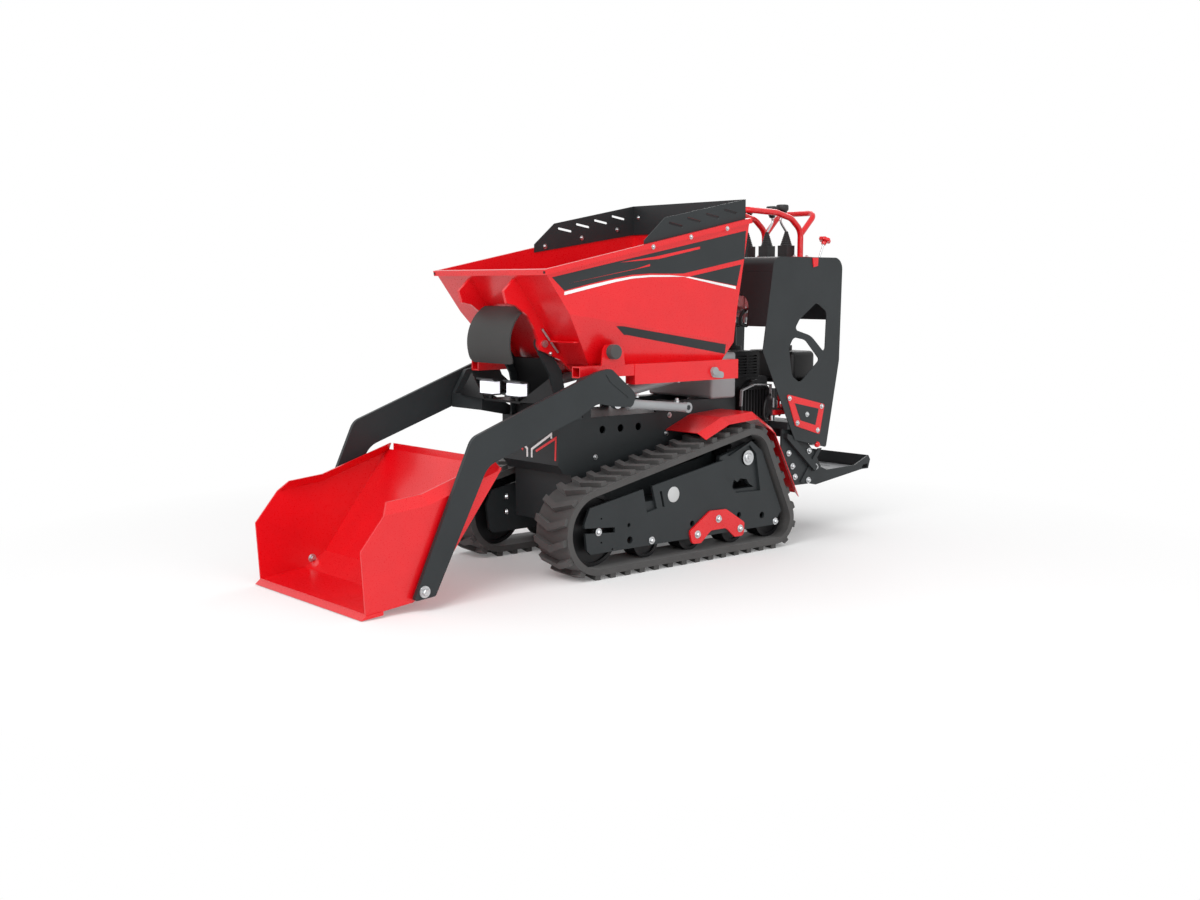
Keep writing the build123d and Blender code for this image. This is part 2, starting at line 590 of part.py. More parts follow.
def hopper(inset):
    """The skip's form with every wall moved inwards by inset, cut off under the rim."""
    tall = RIM_WIDTH * 10
    outline = list(SKIP_SIDE)
    outline[0] = beyond(SKIP_SIDE[1], SKIP_SIDE[0], tall)
    outline[-1] = beyond(SKIP_SIDE[-2], SKIP_SIDE[-1], tall)
    face = make_face(Polyline(*outline, close=True))
    if inset:
        face = offset(face, -inset, kind=Kind.INTERSECTION)
    half = SKIP_HALF - inset
    form = extrude(side_plane(half) * face, 2 * half)
    lean = leaning_plane(inset)
    other = Plane(origin=(lean.origin.X, -lean.origin.Y, lean.origin.Z),
                  z_dir=(lean.z_dir.X, -lean.z_dir.Y, lean.z_dir.Z))
    form = split(form, bisect_by=lean, keep=Keep.BOTTOM)
    form = split(form, bisect_by=other, keep=Keep.BOTTOM)
    return split(form, bisect_by=rim_plane(RIM_HEIGHT), keep=Keep.BOTTOM)


def skip_tub():
    """The welded tub, with a short stiffening shelf on each side of its front wall."""
    tub = hopper(0) - hopper(SKIP_WALL)
    high_z = SHELF_Z + SKIP_WALL
    edge_x = front_wall(high_z)[0] + SHELF_REACH
    outline = (front_wall(SHELF_Z), front_wall(high_z), (edge_x, high_z), (edge_x, SHELF_Z))
    for shelf in both_sides(on_side(outline, GUSSET_Y[1], SKIP_FLOOR_HALF)):
        tub += shelf
    return tub


def skip_rim():
    """The square tube that is welded round the tub's mouth."""
    length = distance(SKIP_SIDE[0], SKIP_SIDE[-1])
    inner_half = SKIP_HALF - SKIP_WALL
    outer = Pos(length / 2, 0, 0) * Rectangle(length, 2 * (inner_half + RIM_WIDTH))
    inner = Pos(length / 2, 0, 0) * Rectangle(length - 2 * RIM_WIDTH, 2 * inner_half)
    return extrude(rim_plane(0) * (outer - inner), -RIM_HEIGHT)


def skip_channels():
    """The two rails under the tub: a hollow square tube in front, a deeper channel behind."""
    top = SKIP_SIDE[1][1]
    outer_y = CHANNEL_Y[1]
    low_z = top - TUBE_HEIGHT
    deep = block((CHANNEL_X[0], TUBE_REAR_X), CHANNEL_Y, (top - CHANNEL_HEIGHT, top))
    tube_y = (CHANNEL_Y[0] + 5, outer_y - 2)
    front = block((TUBE_REAR_X, CHANNEL_X[1]), tube_y, (low_z, top))
    hollow = block((TUBE_REAR_X + 30, CHANNEL_X[1] + 1), (tube_y[0] + SKIP_WALL, tube_y[1] - SKIP_WALL),
                   (low_z + SKIP_WALL, top - SKIP_WALL))
    stop = on_side(BUMPER_PLATE, outer_y - 6, outer_y)
    return both_sides(deep + front - hollow + stop)


def skip_bumpers():
    """The round rubber stops that the raised arms come up to."""
    face_y = CHANNEL_Y[1]
    drum = fillet(bar_y(BUMPER, BUMPER_R, face_y, face_y + BUMPER_LENGTH).edges().group_by(Axis.Y)[-1], 4)
    return both_sides(drum)


def front_wall(z):
    """The (x, z) point of the front wall's outer face at a height."""
    (top_x, top_z), (low_x, low_z) = SKIP_SIDE[:2]
    return low_x + (top_x - low_x) * (z - low_z) / (top_z - low_z), z


def skip_gussets():
    """The scalloped plates on the front wall, each with the lug that turns on a pivot pin."""
    plate = on_side((front_wall(GUSSET_TOP), *GUSSET_OUTLINE), *GUSSET_Y) + bar_y(SKIP_PIVOT, 30, *GUSSET_Y)
    plate -= bar_y(SKIP_PIVOT, SKIP_PIN_R + PIN_FIT, 0, MACHINE_WIDTH)
    return both_sides(plate)


def skip_flap():
    """The curved rubber guard over the pivot, concentric with it, with rounded lower corners."""
    x, z = SKIP_PIVOT
    high, low = (radians(angle) for angle in FLAP_ANGLES)
    middle = (high + low) / 2
    outer, inner = (
        [(x + r * cos(a), z + r * sin(a)) for a in (high, middle, low)]
        for r in (FLAP_R, FLAP_R - FLAP_THICK)
    )
    ends = [Line(outer[2], inner[2]), Line(inner[0], outer[0])]
    face = make_face([ThreePointArc(*outer), ends[0], ThreePointArc(*inner[::-1]), ends[1]])
    flap = extrude(side_plane(FLAP_HALF) * face, 2 * FLAP_HALF)
    tall = 2 * FLAP_R
    window = RectangleRounded(2 * FLAP_HALF, tall, 22)
    keep = Plane(origin=(0, 0, outer[2][1] + tall / 2), x_dir=(0, 1, 0), z_dir=(1, 0, 0)) * window
    return flap & extrude(keep, x + tall)


def side_boards():
    """The bolted-on boards that raise the tub's sides, each with four slanted slots."""
    face_y = SKIP_HALF - SKIP_WALL
    board = on_side(BOARD_OUTLINE, face_y - BOARD, face_y)
    for x, z in BOARD_SLOTS:
        slot = Pos(x, z) * Rot(0, 0, BOARD_SLOT_TILT) * SlotOverall(*BOARD_SLOT_SIZE)
        board -= extrude(side_plane(face_y + 1) * slot, BOARD + 2)
    return both_sides(board)


def rear_board():
    half = SKIP_HALF - SKIP_WALL - BOARD
    x = SKIP_SIDE[-1][0] + RIM_WIDTH + RUN_GAP
    return block((x, x + BOARD), (-half, half), REAR_BOARD_Z)


def skip_links():
    """The drop-shaped plates on the rails that hold the tipping cylinders' rear pins."""
    x, z = TIP_EYE
    face_y = CHANNEL_Y[1]
    outline = ((x + 20, z + 12), (x - 50, z - 6), (x - 52, z - 30), (x + 8, z - 24))
    plate = rounded_plate(outline, 10, face_y, face_y + 8)
    return both_sides(plate + bar_y(TIP_EYE, 16, face_y, face_y + 14))


# ================================================================ arms and shovel
def arm():
    """One flat loader arm with its inboard pivot shaft and the lug for its lifting cylinder."""
    inner_y = ARM_FACE_Y - ARM_THICK
    width, depth = ARM_GROOVE_SIZE
    plate = rounded_plate(*outline_and_radii(ARM_OUTLINE), inner_y, ARM_FACE_Y)
    for start, end in zip(ARM_GROOVE, ARM_GROOVE[1:]):
        edge = offset_polyline((start, end), width)
        plate -= on_side((start, end, edge[1], edge[0]), ARM_FACE_Y - depth, ARM_FACE_Y + 1)
    shaft = bar_y(ARM_PIVOT, ARM_SHAFT_R, ARM_HUB_Y[0], inner_y)
    ear = bar_y(LIFT_EAR, 12, LIFT_Y + EYE_WIDTH / 2 + 2, inner_y)
    plate -= bar_y(SHOVEL_PIN, SHOVEL_PIN_R + PIN_FIT, inner_y - 1, ARM_FACE_Y + 1)
    return plate + shaft + ear


def shovel_shell():
    """Bent floor and back plate, with a side wall and its inturned strip at each end."""
    inner = offset_polyline(SHOVEL_FLOOR, SHOVEL_WALL)
    plate = on_side((*SHOVEL_FLOOR, *inner[::-1]), -SHOVEL_HALF, SHOVEL_HALF)
    end = (SHOVEL_HALF - SHOVEL_WALL, SHOVEL_HALF)
    wall = on_side((*SHOVEL_FRONT, *SHOVEL_FOLD, *SHOVEL_FLOOR[-3::-1]), *end)
    lip_low, lip_high = SHOVEL_FLOOR[-2], SHOVEL_FLOOR[-1]
    notch = block((lip_low[0] - SHOVEL_WALL - 1, lip_low[0] + SHOVEL_WALL + 1),
                  (end[1] - SHOVEL_FLANGE - SHOVEL_NOTCH, end[1] + 1), (lip_low[1], lip_high[1] + 1))
    for piece in both_sides(notch):
        plate -= piece
    for piece in both_sides(wall + side_flange()):
        plate += piece
    for bore in both_sides(bar_y(SHOVEL_PIN, SHOVEL_PIN_R + PIN_FIT, end[0], end[1] + 1)):
        plate -= bore
    return plate + on_side(SHOVEL_EDGE, -SHOVEL_HALF - 3, SHOVEL_HALF + 3)


def side_flange():
    """The strip above the left wall's fold, leaning inwards at 45 degrees."""
    top = offset_polyline(SHOVEL_FOLD, SHOVEL_FLANGE)
    top[0] = beyond(top[1], top[0], -SHOVEL_FLANGE)
    strip = None
    for i in range(len(SHOVEL_FOLD) - 1):
        (low_a, low_b), (high_a, high_b) = SHOVEL_FOLD[i:i + 2], top[i:i + 2]
        high_y = SHOVEL_HALF - SHOVEL_FLANGE
        corners = [(low_a[0], SHOVEL_HALF, low_a[1]), (low_b[0], SHOVEL_HALF, low_b[1]),
                   (high_b[0], high_y, high_b[1]), (high_a[0], high_y, high_a[1])]
        panel = leaf(corners, SHOVEL_WALL * sqrt(2), (0, -1, 0))
        strip = panel if strip is None else strip + panel
    return strip


def leaf(corners, thickness, direction):
    """A flat plate on the given 3-D corners, thickened along a direction."""
    return extrude(make_face(Polyline(*corners, close=True)).face(), amount=thickness, dir=direction)


def offset_polyline(points, thickness):
    """The points moved to the left of the line by a thickness, mitred at its bends."""
    moved = []
    for i, point in enumerate(points):
        normals = []
        for a, b in ((i - 1, i), (i, i + 1)):
            if a >= 0 and b < len(points):
                dx, dz = points[b][0] - points[a][0], points[b][1] - points[a][1]
                size = hypot(dx, dz)
                normals.append((dz / size, -dx / size))
        nx = sum(n[0] for n in normals) / len(normals)
        nz = sum(n[1] for n in normals) / len(normals)
        stretch = thickness / (nx * nx + nz * nz)
        moved.append((point[0] + nx * stretch, point[1] + nz * stretch))
    return moved


def shovel_pins():
    """Headed pins through the arms' ends into the shovel's walls."""
    low, high = SHOVEL_HALF - SHOVEL_WALL, ARM_FACE_Y
    pin = bar_y(SHOVEL_PIN, SHOVEL_PIN_R, low, high)
    pin += bar_y(SHOVEL_PIN, SHOVEL_PIN_R + 3, high, high + 6)
    return both_sides(pin)


# ================================================================ cylinders
def cylinder_line(base, eye, y):
    """The plane at the base pin whose z runs to the rod's eye, with the distance between them."""
    length = distance(base, eye)
    along = ((eye[0] - base[0]) / length, 0, (eye[1] - base[1]) / length)
    return Plane(origin=(base[0], y, base[1]), x_dir=(0, 1, 0), z_dir=along), length


def barrel(base, eye, y, radius, rod_radius):
    line, length = cylinder_line(base, eye, y)
    head = length - 3 * EYE_R
    start = EYE_R - 6
    outer = Pos(0, 0, (start + head) / 2) * Cylinder(radius, head - start)
    gland = Pos(0, 0, head - 12) * Cylinder(radius + 3, 24)
    body = outer + gland
    bore = Pos(0, 0, EYE_R + 20 + (head - EYE_R) / 2) * Cylinder(rod_radius + PIN_FIT, head - EYE_R)
    body -= bore
    eye_span = (y - EYE_WIDTH / 2, y + EYE_WIDTH / 2)
    return line * body + bar_y(base, EYE_R, *eye_span) - bar_y(base, BASE_PIN_R + PIN_FIT, *eye_span)


def rod(base, eye, y, radius):
    line, length = cylinder_line(base, eye, y)
    start = EYE_R + 24
    shaft = line * (Pos(0, 0, (start + length) / 2) * Cylinder(radius, length - start))
    return shaft + bar_y(eye, EYE_R, y - EYE_WIDTH / 2, y + EYE_WIDTH / 2)


def cylinder_brackets():
    """The chassis lugs and pins that the four barrels turn on."""
    lug = 20.0
    solids = []
    for (x, z), y, barrel_r in ((TIP_BASE, TIP_Y, TIP_BARREL_R), (LIFT_BASE, LIFT_Y, LIFT_BARREL_R)):
        eye_low = y - barrel_r - 3
        upright = block((x - lug, x + lug), (CHASSIS_HALF - 14, CHASSIS_HALF), (CHASSIS_TOP, z + lug))
        arm_block = block((x - lug, x + lug), (CHASSIS_HALF, eye_low), (z - lug + 2, z + lug))
        pin = bar_y((x, z), BASE_PIN_R, eye_low, y + EYE_WIDTH / 2)
        solids += both_sides(upright + arm_block + pin)
    return solids


# ================================================================ engine bay
def engine_block():
    """The open petrol engine: crankcase and flywheel housing."""
    case = block(*ENGINE_CASE)
    case = fillet(case.edges().filter_by(Axis.Y), 20)
    centre, radius = ENGINE_DRUM
    return case + bar_y(centre, radius, ENGINE_CASE[1][1], SHROUD_Y[0])


def engine_shroud():
    """The finned cooling shroud on the engine's left end."""
    low, high = SHROUD_Y
    shroud = rounded_plate(SHROUD_OUTLINE, 14, low, high)
    for i in range(SHROUD_FINS):
        x = SHROUD_OUTLINE[0][0] - 14 - i * SHROUD_PITCH
        shroud -= block((x - SHROUD_PITCH / 2, x), (high - 16, high + 1), (525, 640))
    return shroud


def carburettor():
    """The carburettor with its round air horn and the fuel filter's bowl."""
    body = block(*CARBURETTOR)
    middle_y = sum(CARBURETTOR[1]) / 2
    horn = bar_y(AIR_HORN[0], AIR_HORN[1], middle_y, SHROUD_Y[1] + 12)
    bowl = bar_z(FILTER_BOWL[0], FILTER_BOWL[1], CARBURETTOR[2][0] - 22, CARBURETTOR[2][0])
    return fillet(body.edges().filter_by(Axis.Y), 8) + horn + bowl


def muffler_guard():
    """The louvred black box over the silencer."""
    x, y, z = MUFFLER
    length, height, pitch = MUFFLER_SLOT
    guard = fillet(block(x, y, z).edges().filter_by(Axis.Y), 12)
    for column in range(2):
        x_low = x[0] + 16 + column * (length + 8)
        for row in range(MUFFLER_ROWS):
            z_low = z[0] + 14 + row * pitch
            guard -= block((x_low, x_low + length), (y[1] - 10, y[1] + 1), (z_low, z_low + height))
    return guard


def oil_tank():
    """The hydraulic tank between the skip and the engine."""
    return fillet(block(*OIL_TANK).edges(), 12)


def air_cleaner():
    """The round air cleaner on the engine, with its intake pipe up to the valve bank."""
    lower, upper = (bar_z(INTAKE_XY, *row) for row in INTAKE)
    return lower + upper


def bar_z(centre, radius, z_low, z_high):
    """A round bar along Z whose axis passes through centre (x, y)."""
    return Pos(*centre, (z_low + z_high) / 2) * Cylinder(radius, z_high - z_low)


def fuel_tank():
    """The rounded plastic fuel tank between the tower's sides."""
    return fillet(block(FUEL_TANK_X, FUEL_TANK_Y, FUEL_TANK_Z).edges(), 22)


def fuel_cap():
    """The screw cap of the fuel tank, with grip notches."""
    low = FUEL_TANK_Z[1] + RUN_GAP
    cap = bar_z(FUEL_CAP_XY, FUEL_CAP_R, low, low + FUEL_CAP_HEIGHT)
    for i in range(FUEL_CAP_NOTCHES):
        angle = 2 * pi * i / FUEL_CAP_NOTCHES
        place = (FUEL_CAP_XY[0] + FUEL_CAP_R * cos(angle), FUEL_CAP_XY[1] + FUEL_CAP_R * sin(angle))
        cap -= bar_z(place, 4, low - 1, low + FUEL_CAP_HEIGHT + 1)
    return cap


def valve_block():
    """The lever-operated valve bank hung under the console, with a fitting on each port."""
    (x_low, x_high), (_, y_high), (z_low, z_high) = VALVE_BANK
    bank = block(*VALVE_BANK)
    for i in range(VALVE_SECTIONS):
        y = (i - (VALVE_SECTIONS - 1) / 2) * VALVE_PITCH
        bank += bar_x((y, z_low + 30), PORT_R, x_high, x_high + 22)
        bank += bar_z(((x_low + x_high) / 2, y), PORT_R - 2, z_low - 25, z_low)
        bank -= block((x_high - 8, x_high + 1), (y + PORT_R + 14, y + PORT_R + 18), (z_low - 1, z_high + 1))
    hanger = block((x_low + 12, x_high - 28), (y_high - 9, y_high - 3), (z_high, CONSOLE_TOP - TOWER_SHEET))
    for side in both_sides(hanger):
        bank += side
    return bank


# ================================================================ tower
def tower_side():
    """The left side panel with its two shaped windows and the arched band between them."""
    panel = rounded_plate(*outline_and_radii(TOWER_OUTLINE), TOWER_HALF - TOWER_SHEET, TOWER_HALF)
    for window in (UPPER_WINDOW, LOWER_WINDOW):
        panel -= rounded_plate(*outline_and_radii(window), TOWER_HALF - 2 * TOWER_SHEET, TOWER_HALF + 1)
    return panel


def front_edge_x(z):
    """The x of the tower's leaning front edge at a height."""
    (top_x, top_z), (low_x, low_z) = TOWER_OUTLINE[0][0], TOWER_OUTLINE[1][0]
    return top_x + (low_x - top_x) * (top_z - z) / (top_z - low_z)


def console():
    """The folded top sheet, rolled down at the front and turned down at the rear."""
    half = TOWER_HALF - TOWER_SHEET
    sheet = TOWER_SHEET
    seam_x = front_edge_x(FRONT_SEAM_Z) - sheet
    top_x = front_edge_x(CONSOLE_TOP) - sheet
    edge = 1.0
    outline = (
        ((CONSOLE_REAR_X, CONSOLE_TOP), edge), ((top_x, CONSOLE_TOP), CONSOLE_BEND), ((seam_x, FRONT_SEAM_Z), edge),
        ((seam_x - sheet, FRONT_SEAM_Z), edge), ((top_x - sheet, CONSOLE_TOP - sheet), CONSOLE_BEND - sheet),
        ((CONSOLE_REAR_X, CONSOLE_TOP - sheet), edge),
    )
    return rounded_plate(*outline_and_radii(outline), -half, half)


def tower_front():
    """The leaning front sheet under the console, with an arch that shows the valve bank."""
    half = TOWER_HALF - TOWER_SHEET
    sheet = TOWER_SHEET
    seam_x, low_x = (front_edge_x(z) - sheet for z in (FRONT_SEAM_Z, FRONT_BOTTOM_Z))
    panel = on_side(((seam_x, FRONT_SEAM_Z), (low_x, FRONT_BOTTOM_Z), (low_x - sheet, FRONT_BOTTOM_Z),
                     (seam_x - sheet, FRONT_SEAM_Z)), -half, half)
    width, top, radius = FRONT_ARCH
    arch = block((seam_x - 50, low_x + 50), (-width / 2, width / 2), (FRONT_BOTTOM_Z - 1, top))
    return panel - fillet(arch.edges().filter_by(Axis.X).group_by(Axis.Z)[-1], radius)


def tower_back():
    """The rear cross panel under the console, and the shelf that carries the fuel tank."""
    half = TOWER_HALF - TOWER_SHEET
    panel = block((BACK_PANEL_X, BACK_PANEL_X + TOWER_SHEET), (-half, half), BACK_PANEL_Z)
    shelf = block((FUEL_TANK_X[0] + 10, FUEL_TANK_X[1] - 7), (-half, half), (FUEL_TANK_Z[0] - 8, FUEL_TANK_Z[0]))
    return [panel, shelf]


def cover_plates():
    """The red inspection covers low on the side panels, each with a sunk middle."""
    plate = rounded_plate(COVER_OUTLINE, 8, TOWER_HALF, TOWER_HALF + COVER_THICK)
    sunk = rounded_plate(COVER_MIDDLE, 6, TOWER_HALF + COVER_THICK - 1, TOWER_HALF + COVER_THICK + 1)
    return both_sides(plate - sunk)


def tower_feet():
    """The plates that bolt the tower's sides to the engine bed."""
    return both_sides(block(TOWER_FOOT_X, (CHASSIS_HALF, TOWER_HALF - TOWER_SHEET), ENGINE_BED_Z))


# ================================================================ controls
def hoop_handle():
    """The bent safety hoop over the levers, its foot plates, and the grab handle behind it."""
    left = [(x, HOOP_HALF, z) for x, z in HOOP_PATH]
    right = [(x, -HOOP_HALF, z) for x, z in HOOP_PATH[::-1]]
    hoop = tube(left + right, HOOP_R, HOOP_BENDS + HOOP_BENDS[::-1])
    (leg_x, leg_z), (back_x, back_z) = GRAB_PATH
    grab = [(leg_x, HOOP_HALF, leg_z), (back_x, HOOP_HALF, back_z), (back_x, -HOOP_HALF, back_z),
            (leg_x, -HOOP_HALF, leg_z)]
    hoop += tube(grab, HOOP_R - 1, (40, 40))
    half_length, half_width, thick = HOOP_FOOT
    for foot in both_sides(block((leg_x - half_length, leg_x + half_length),
                                 (HOOP_HALF - half_width, HOOP_HALF + half_width), (CONSOLE_TOP, CONSOLE_TOP + thick))):
        hoop += foot
    return hoop


def lever_boots():
    """The square rubber boots under the levers, each with a ribbed cone on top."""
    solids = []
    step = BOOT_CONE / BOOT_RINGS
    for (x, y), bend, knob in LEVERS:
        boot = block((x - BOOT_HALF, x + BOOT_HALF), (y - BOOT_HALF, y + BOOT_HALF),
                     (CONSOLE_TOP, CONSOLE_TOP + BOOT_BOX))
        for i in range(BOOT_RINGS):
            wide = BOOT_HALF + (BOOT_TOP_R - BOOT_HALF) * i / (BOOT_RINGS - 1)
            low = CONSOLE_TOP + BOOT_BOX + i * step
            boot += Pos(x, y, low + step / 2) * Cone(wide, wide * 0.78, step)
        solids.append(boot)
    return solids


def above(shape, z):
    """The part of the shape that lies above the level z."""
    return split(shape, bisect_by=Plane(origin=(0, 0, z), z_dir=(0, 0, 1)), keep=Keep.TOP)


def levers():
    """Cranked steel stems with mushroom knobs."""
    solids = []
    low = CONSOLE_TOP + BOOT_BOX + BOOT_CONE
    neck_low, neck_high, neck_height = KNOB_NECK
    head_r, head_height = KNOB_HEAD
    for (x, y), (bend_x, bend_z), (knob_x, knob_z) in LEVERS:
        sink = LEVER_R * 2
        foot = (x - sink * bend_x / bend_z, y, low - sink)
        bend = (x + bend_x, y, low + bend_z)
        head = (x + knob_x, y, low + knob_z)
        stem = tube((foot, bend, head), LEVER_R, 8) if bend_x else tube((foot, head), LEVER_R, None)
        neck = Pos(0, 0, neck_height / 2) * Cone(neck_low, neck_high, neck_height)
        cap = Pos(0, 0, neck_height + head_height / 2) * Cylinder(head_r, head_height)
        knob = neck + fillet(cap.edges(), 9)
        solids.append(above(stem, low) + Pos(*head) * knob)
    return solids


def stop_knob():
    """The pull knob: a lobed head on a leaning stem."""
    foot_x, y = STOP_FOOT
    head_x, head_z = STOP_HEAD
    slope = (head_x - foot_x) / (head_z - CONSOLE_TOP)
    start = (foot_x - slope * STOP_STEM_R * 2, y, CONSOLE_TOP - STOP_STEM_R * 2)
    stem = above(tube((start, (head_x, y, head_z)), STOP_STEM_R, None), CONSOLE_TOP)
    line = Plane(origin=(head_x, y, head_z), x_dir=(0, 1, 0), z_dir=(head_x - foot_x, 0, head_z - CONSOLE_TOP))
    star = Pos(0, 0, STAR_THICK / 2 + 14) * Cylinder(STAR_R, STAR_THICK)
    for i in range(STAR_LOBES):
        angle = 2 * pi * i / STAR_LOBES
        place = (STAR_R * 1.25 * cos(angle), STAR_R * 1.25 * sin(angle), STAR_THICK / 2 + 14)
        star -= Pos(*place) * Cylinder(STAR_R * 0.45, STAR_THICK + 1)
    hub = Pos(0, 0, 8) * Cylinder(STAR_R * 0.4, 16)
    return stem + line * (star + hub)


# ================================================================ fenders, lamps, platform
def fender():
    """The bent red sheet over the track's tail, with its outer border folded down."""
    top = offset_polyline(FENDER_EDGE, FENDER_DROP)
    sheet = on_side((*top, *offset_polyline(top, FENDER_SHEET)[::-1]), CHASSIS_HALF, FENDER_FOLD_Y)
    border = [
        side_plane(y) * make_face(Polyline(*line, *offset_polyline(line, FENDER_SHEET)[::-1], close=True))
        for line, y in ((top, FENDER_FOLD_Y), (FENDER_EDGE, BELT_EDGE_Y))
    ]
    return sheet + loft(border, ruled=True)


def lamp_bracket():
    """The shelf in front of the chassis that holds the lamps, with its leaning side braces."""
    rear_x = CHASSIS_FRONT_X - 30
    low, high = LAMP_SHELF_Z
    shelf = block((rear_x, CHASSIS_FRONT_X + 132), (-LAMP_SHELF_HALF, LAMP_SHELF_HALF), LAMP_SHELF_Z)
    shelf += block((rear_x, rear_x + 8), (-110, 110), (CHASSIS_TOP, low))
    for brace in both_sides(leaf(LAMP_BRACE, 4, (-1, 0, 0))):
        shelf += brace
    return shelf


def work_lamps():
    """Two square lamps on stubs, each under a hood that reaches past its face."""
    solids = []
    depth, width, height = LAMP_SIZE
    for y in (-LAMP_Y, LAMP_Y):
        lamp = block((LAMP_X - depth / 2, LAMP_X + depth / 2), (y - width / 2, y + width / 2),
                     (LAMP_Z - height / 2, LAMP_Z + height / 2))
        stub = bar_z((LAMP_X, y), 9, LAMP_SHELF_Z[1], LAMP_Z)
        outline = [(LAMP_X + x, LAMP_Z + height / 2 + z) for x, z in LAMP_HOOD]
        hood = on_side(outline, y - width / 2 - 4, y + width / 2 + 4)
        solids.append(lamp + stub + hood)
    return solids


def rear_brackets():
    """The side plates with the platform's hinge pins, a brace and a flat bar on each, and a web."""
    inner_y = PLATFORM_HALF + 2
    face_y = inner_y + BRACKET_THICK
    plate = on_side(BRACKET_OUTLINE, inner_y, face_y)
    plate += on_side(BRACE, face_y, TOWER_HALF - TOWER_SHEET)
    plate += on_side(FLAT_BAR, face_y, face_y + 6)
    plate += bar_y(PLATFORM_HINGE, PLATFORM_PIN_R, PLATFORM_HALF - TRAY_SIDE, inner_y)
    web = block(BRACKET_WEB_X, (-inner_y, inner_y), (420, ENGINE_BED_Z[0]))
    return both_sides(plate) + [web]


def platform_tray():
    """The folding footboard: floor, upturned rear wall and tapered sides with the hinge bores."""
    floor = block((PLATFORM_REAR_X + 12, PLATFORM_FRONT_X), (-PLATFORM_HALF, PLATFORM_HALF), TRAY_FLOOR_Z)
    rear = on_side(TRAY_REAR, -PLATFORM_HALF, PLATFORM_HALF)
    side = on_side(TRAY_SIDE_OUTLINE, PLATFORM_HALF - TRAY_SIDE, PLATFORM_HALF)
    tray = floor + rear
    for piece in both_sides(side):
        tray += piece
    return tray - bar_y(PLATFORM_HINGE, PLATFORM_PIN_R + PIN_FIT, -MACHINE_WIDTH, MACHINE_WIDTH)


# ================================================================ export
def solids_of(shapes):
    shapes = shapes if isinstance(shapes, list) else [shapes]
    return [solid for shape in shapes for solid in shape.solids()]


def fitted(build, *pairs):
    """One solid for each side from a function of (base, eye, y, ...)."""
    return both_sides(build(*pairs))


PARTS = {
    "track_left": rubber_track(),
    "track_frame_left": track_frame(),
    "front_idlers": both_sides(track_wheel(IDLER_X, IDLER_Z, IDLER_R)),
    "bottom_rollers": [
        wheel for x, z, r in [(x, ROLLER_Z, ROLLER_R) for x in ROLLER_XS] + [(TAIL_ROLLER_X, TAIL_ROLLER_Z, TAIL_ROLLER_R)]
        for wheel in both_sides(track_wheel(x, z, r))
    ],
    "bogie_plates": both_sides(bogie_plate()),
    "drive_sprockets": both_sides(sprocket()),
    "cross_beams": cross_beams(),
    "chassis_box": chassis_box(),
    "rear_frame": rear_frame(),
    "skip_posts": skip_posts(),
    "skip_pins": skip_pins(),
    "arm_brackets": arm_brackets(),
    "cylinder_brackets": cylinder_brackets(),
    "lamp_bracket": lamp_bracket(),
    "work_lamps": work_lamps(),
    "fenders": both_sides(fender()),
    "engine_block": engine_block(),
    "engine_shroud": engine_shroud(),
    "carburettor": carburettor(),
    "muffler_guard": muffler_guard(),
    "oil_tank": oil_tank(),
    "air_cleaner": air_cleaner(),
    "fuel_tank": fuel_tank(),
    "fuel_cap": fuel_cap(),
    "valve_block": valve_block(),
    "tower_side_left": tower_side(),
    "console": console(),
    "tower_front": tower_front(),
    "tower_back": tower_back(),
    "cover_plates": cover_plates(),
    "tower_feet": tower_feet(),
    "hoop_handle": hoop_handle(),
    "lever_boots": lever_boots(),
    "levers": levers(),
    "stop_knob": stop_knob(),
    "rear_brackets": rear_brackets(),
    "platform_tray": platform_tray(),
    "skip_tub": skip_tub(),
    "skip_rim": skip_rim(),
    "skip_channels": skip_channels(),
    "skip_bumpers": skip_bumpers(),
    "skip_gussets": skip_gussets(),
    "skip_flap": skip_flap(),
    "side_boards": side_boards(),
    "rear_board": rear_board(),
    "skip_links": skip_links(),
    "arm_left": arm(),
    "shovel_shell": shovel_shell(),
    "shovel_pins": shovel_pins(),
    "tip_barrels": fitted(barrel, TIP_BASE, TIP_EYE, TIP_Y, TIP_BARREL_R, TIP_ROD_R),
    "tip_rods": fitted(rod, TIP_BASE, TIP_EYE, TIP_Y, TIP_ROD_R),
    "lift_barrels": fitted(barrel, LIFT_BASE, LIFT_EAR, LIFT_Y, LIFT_BARREL_R, LIFT_ROD_R),
    "lift_rods": fitted(rod, LIFT_BASE, LIFT_EAR, LIFT_Y, LIFT_ROD_R),
}
for name in ("track", "track_frame", "tower_side", "arm"):
    PARTS[name + "_right"] = right_of(PARTS[name + "_left"])

os.makedirs("parts", exist_ok=True)
for name, shapes in PARTS.items():
    solids = solids_of(shapes)
    shape = solids[0] if len(solids) == 1 else Compound(solids)
    export_step(shape, f"parts/{name}.step")
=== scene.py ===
"""Looks of the self-loading tracked dumper: materials, small parts, floor, light and camera.
Metres. +X is forward, +Y the machine's left, +Z up, and every place comes from the frame."""
import json
import math

import bmesh
import bpy
from mathutils import Matrix, Vector


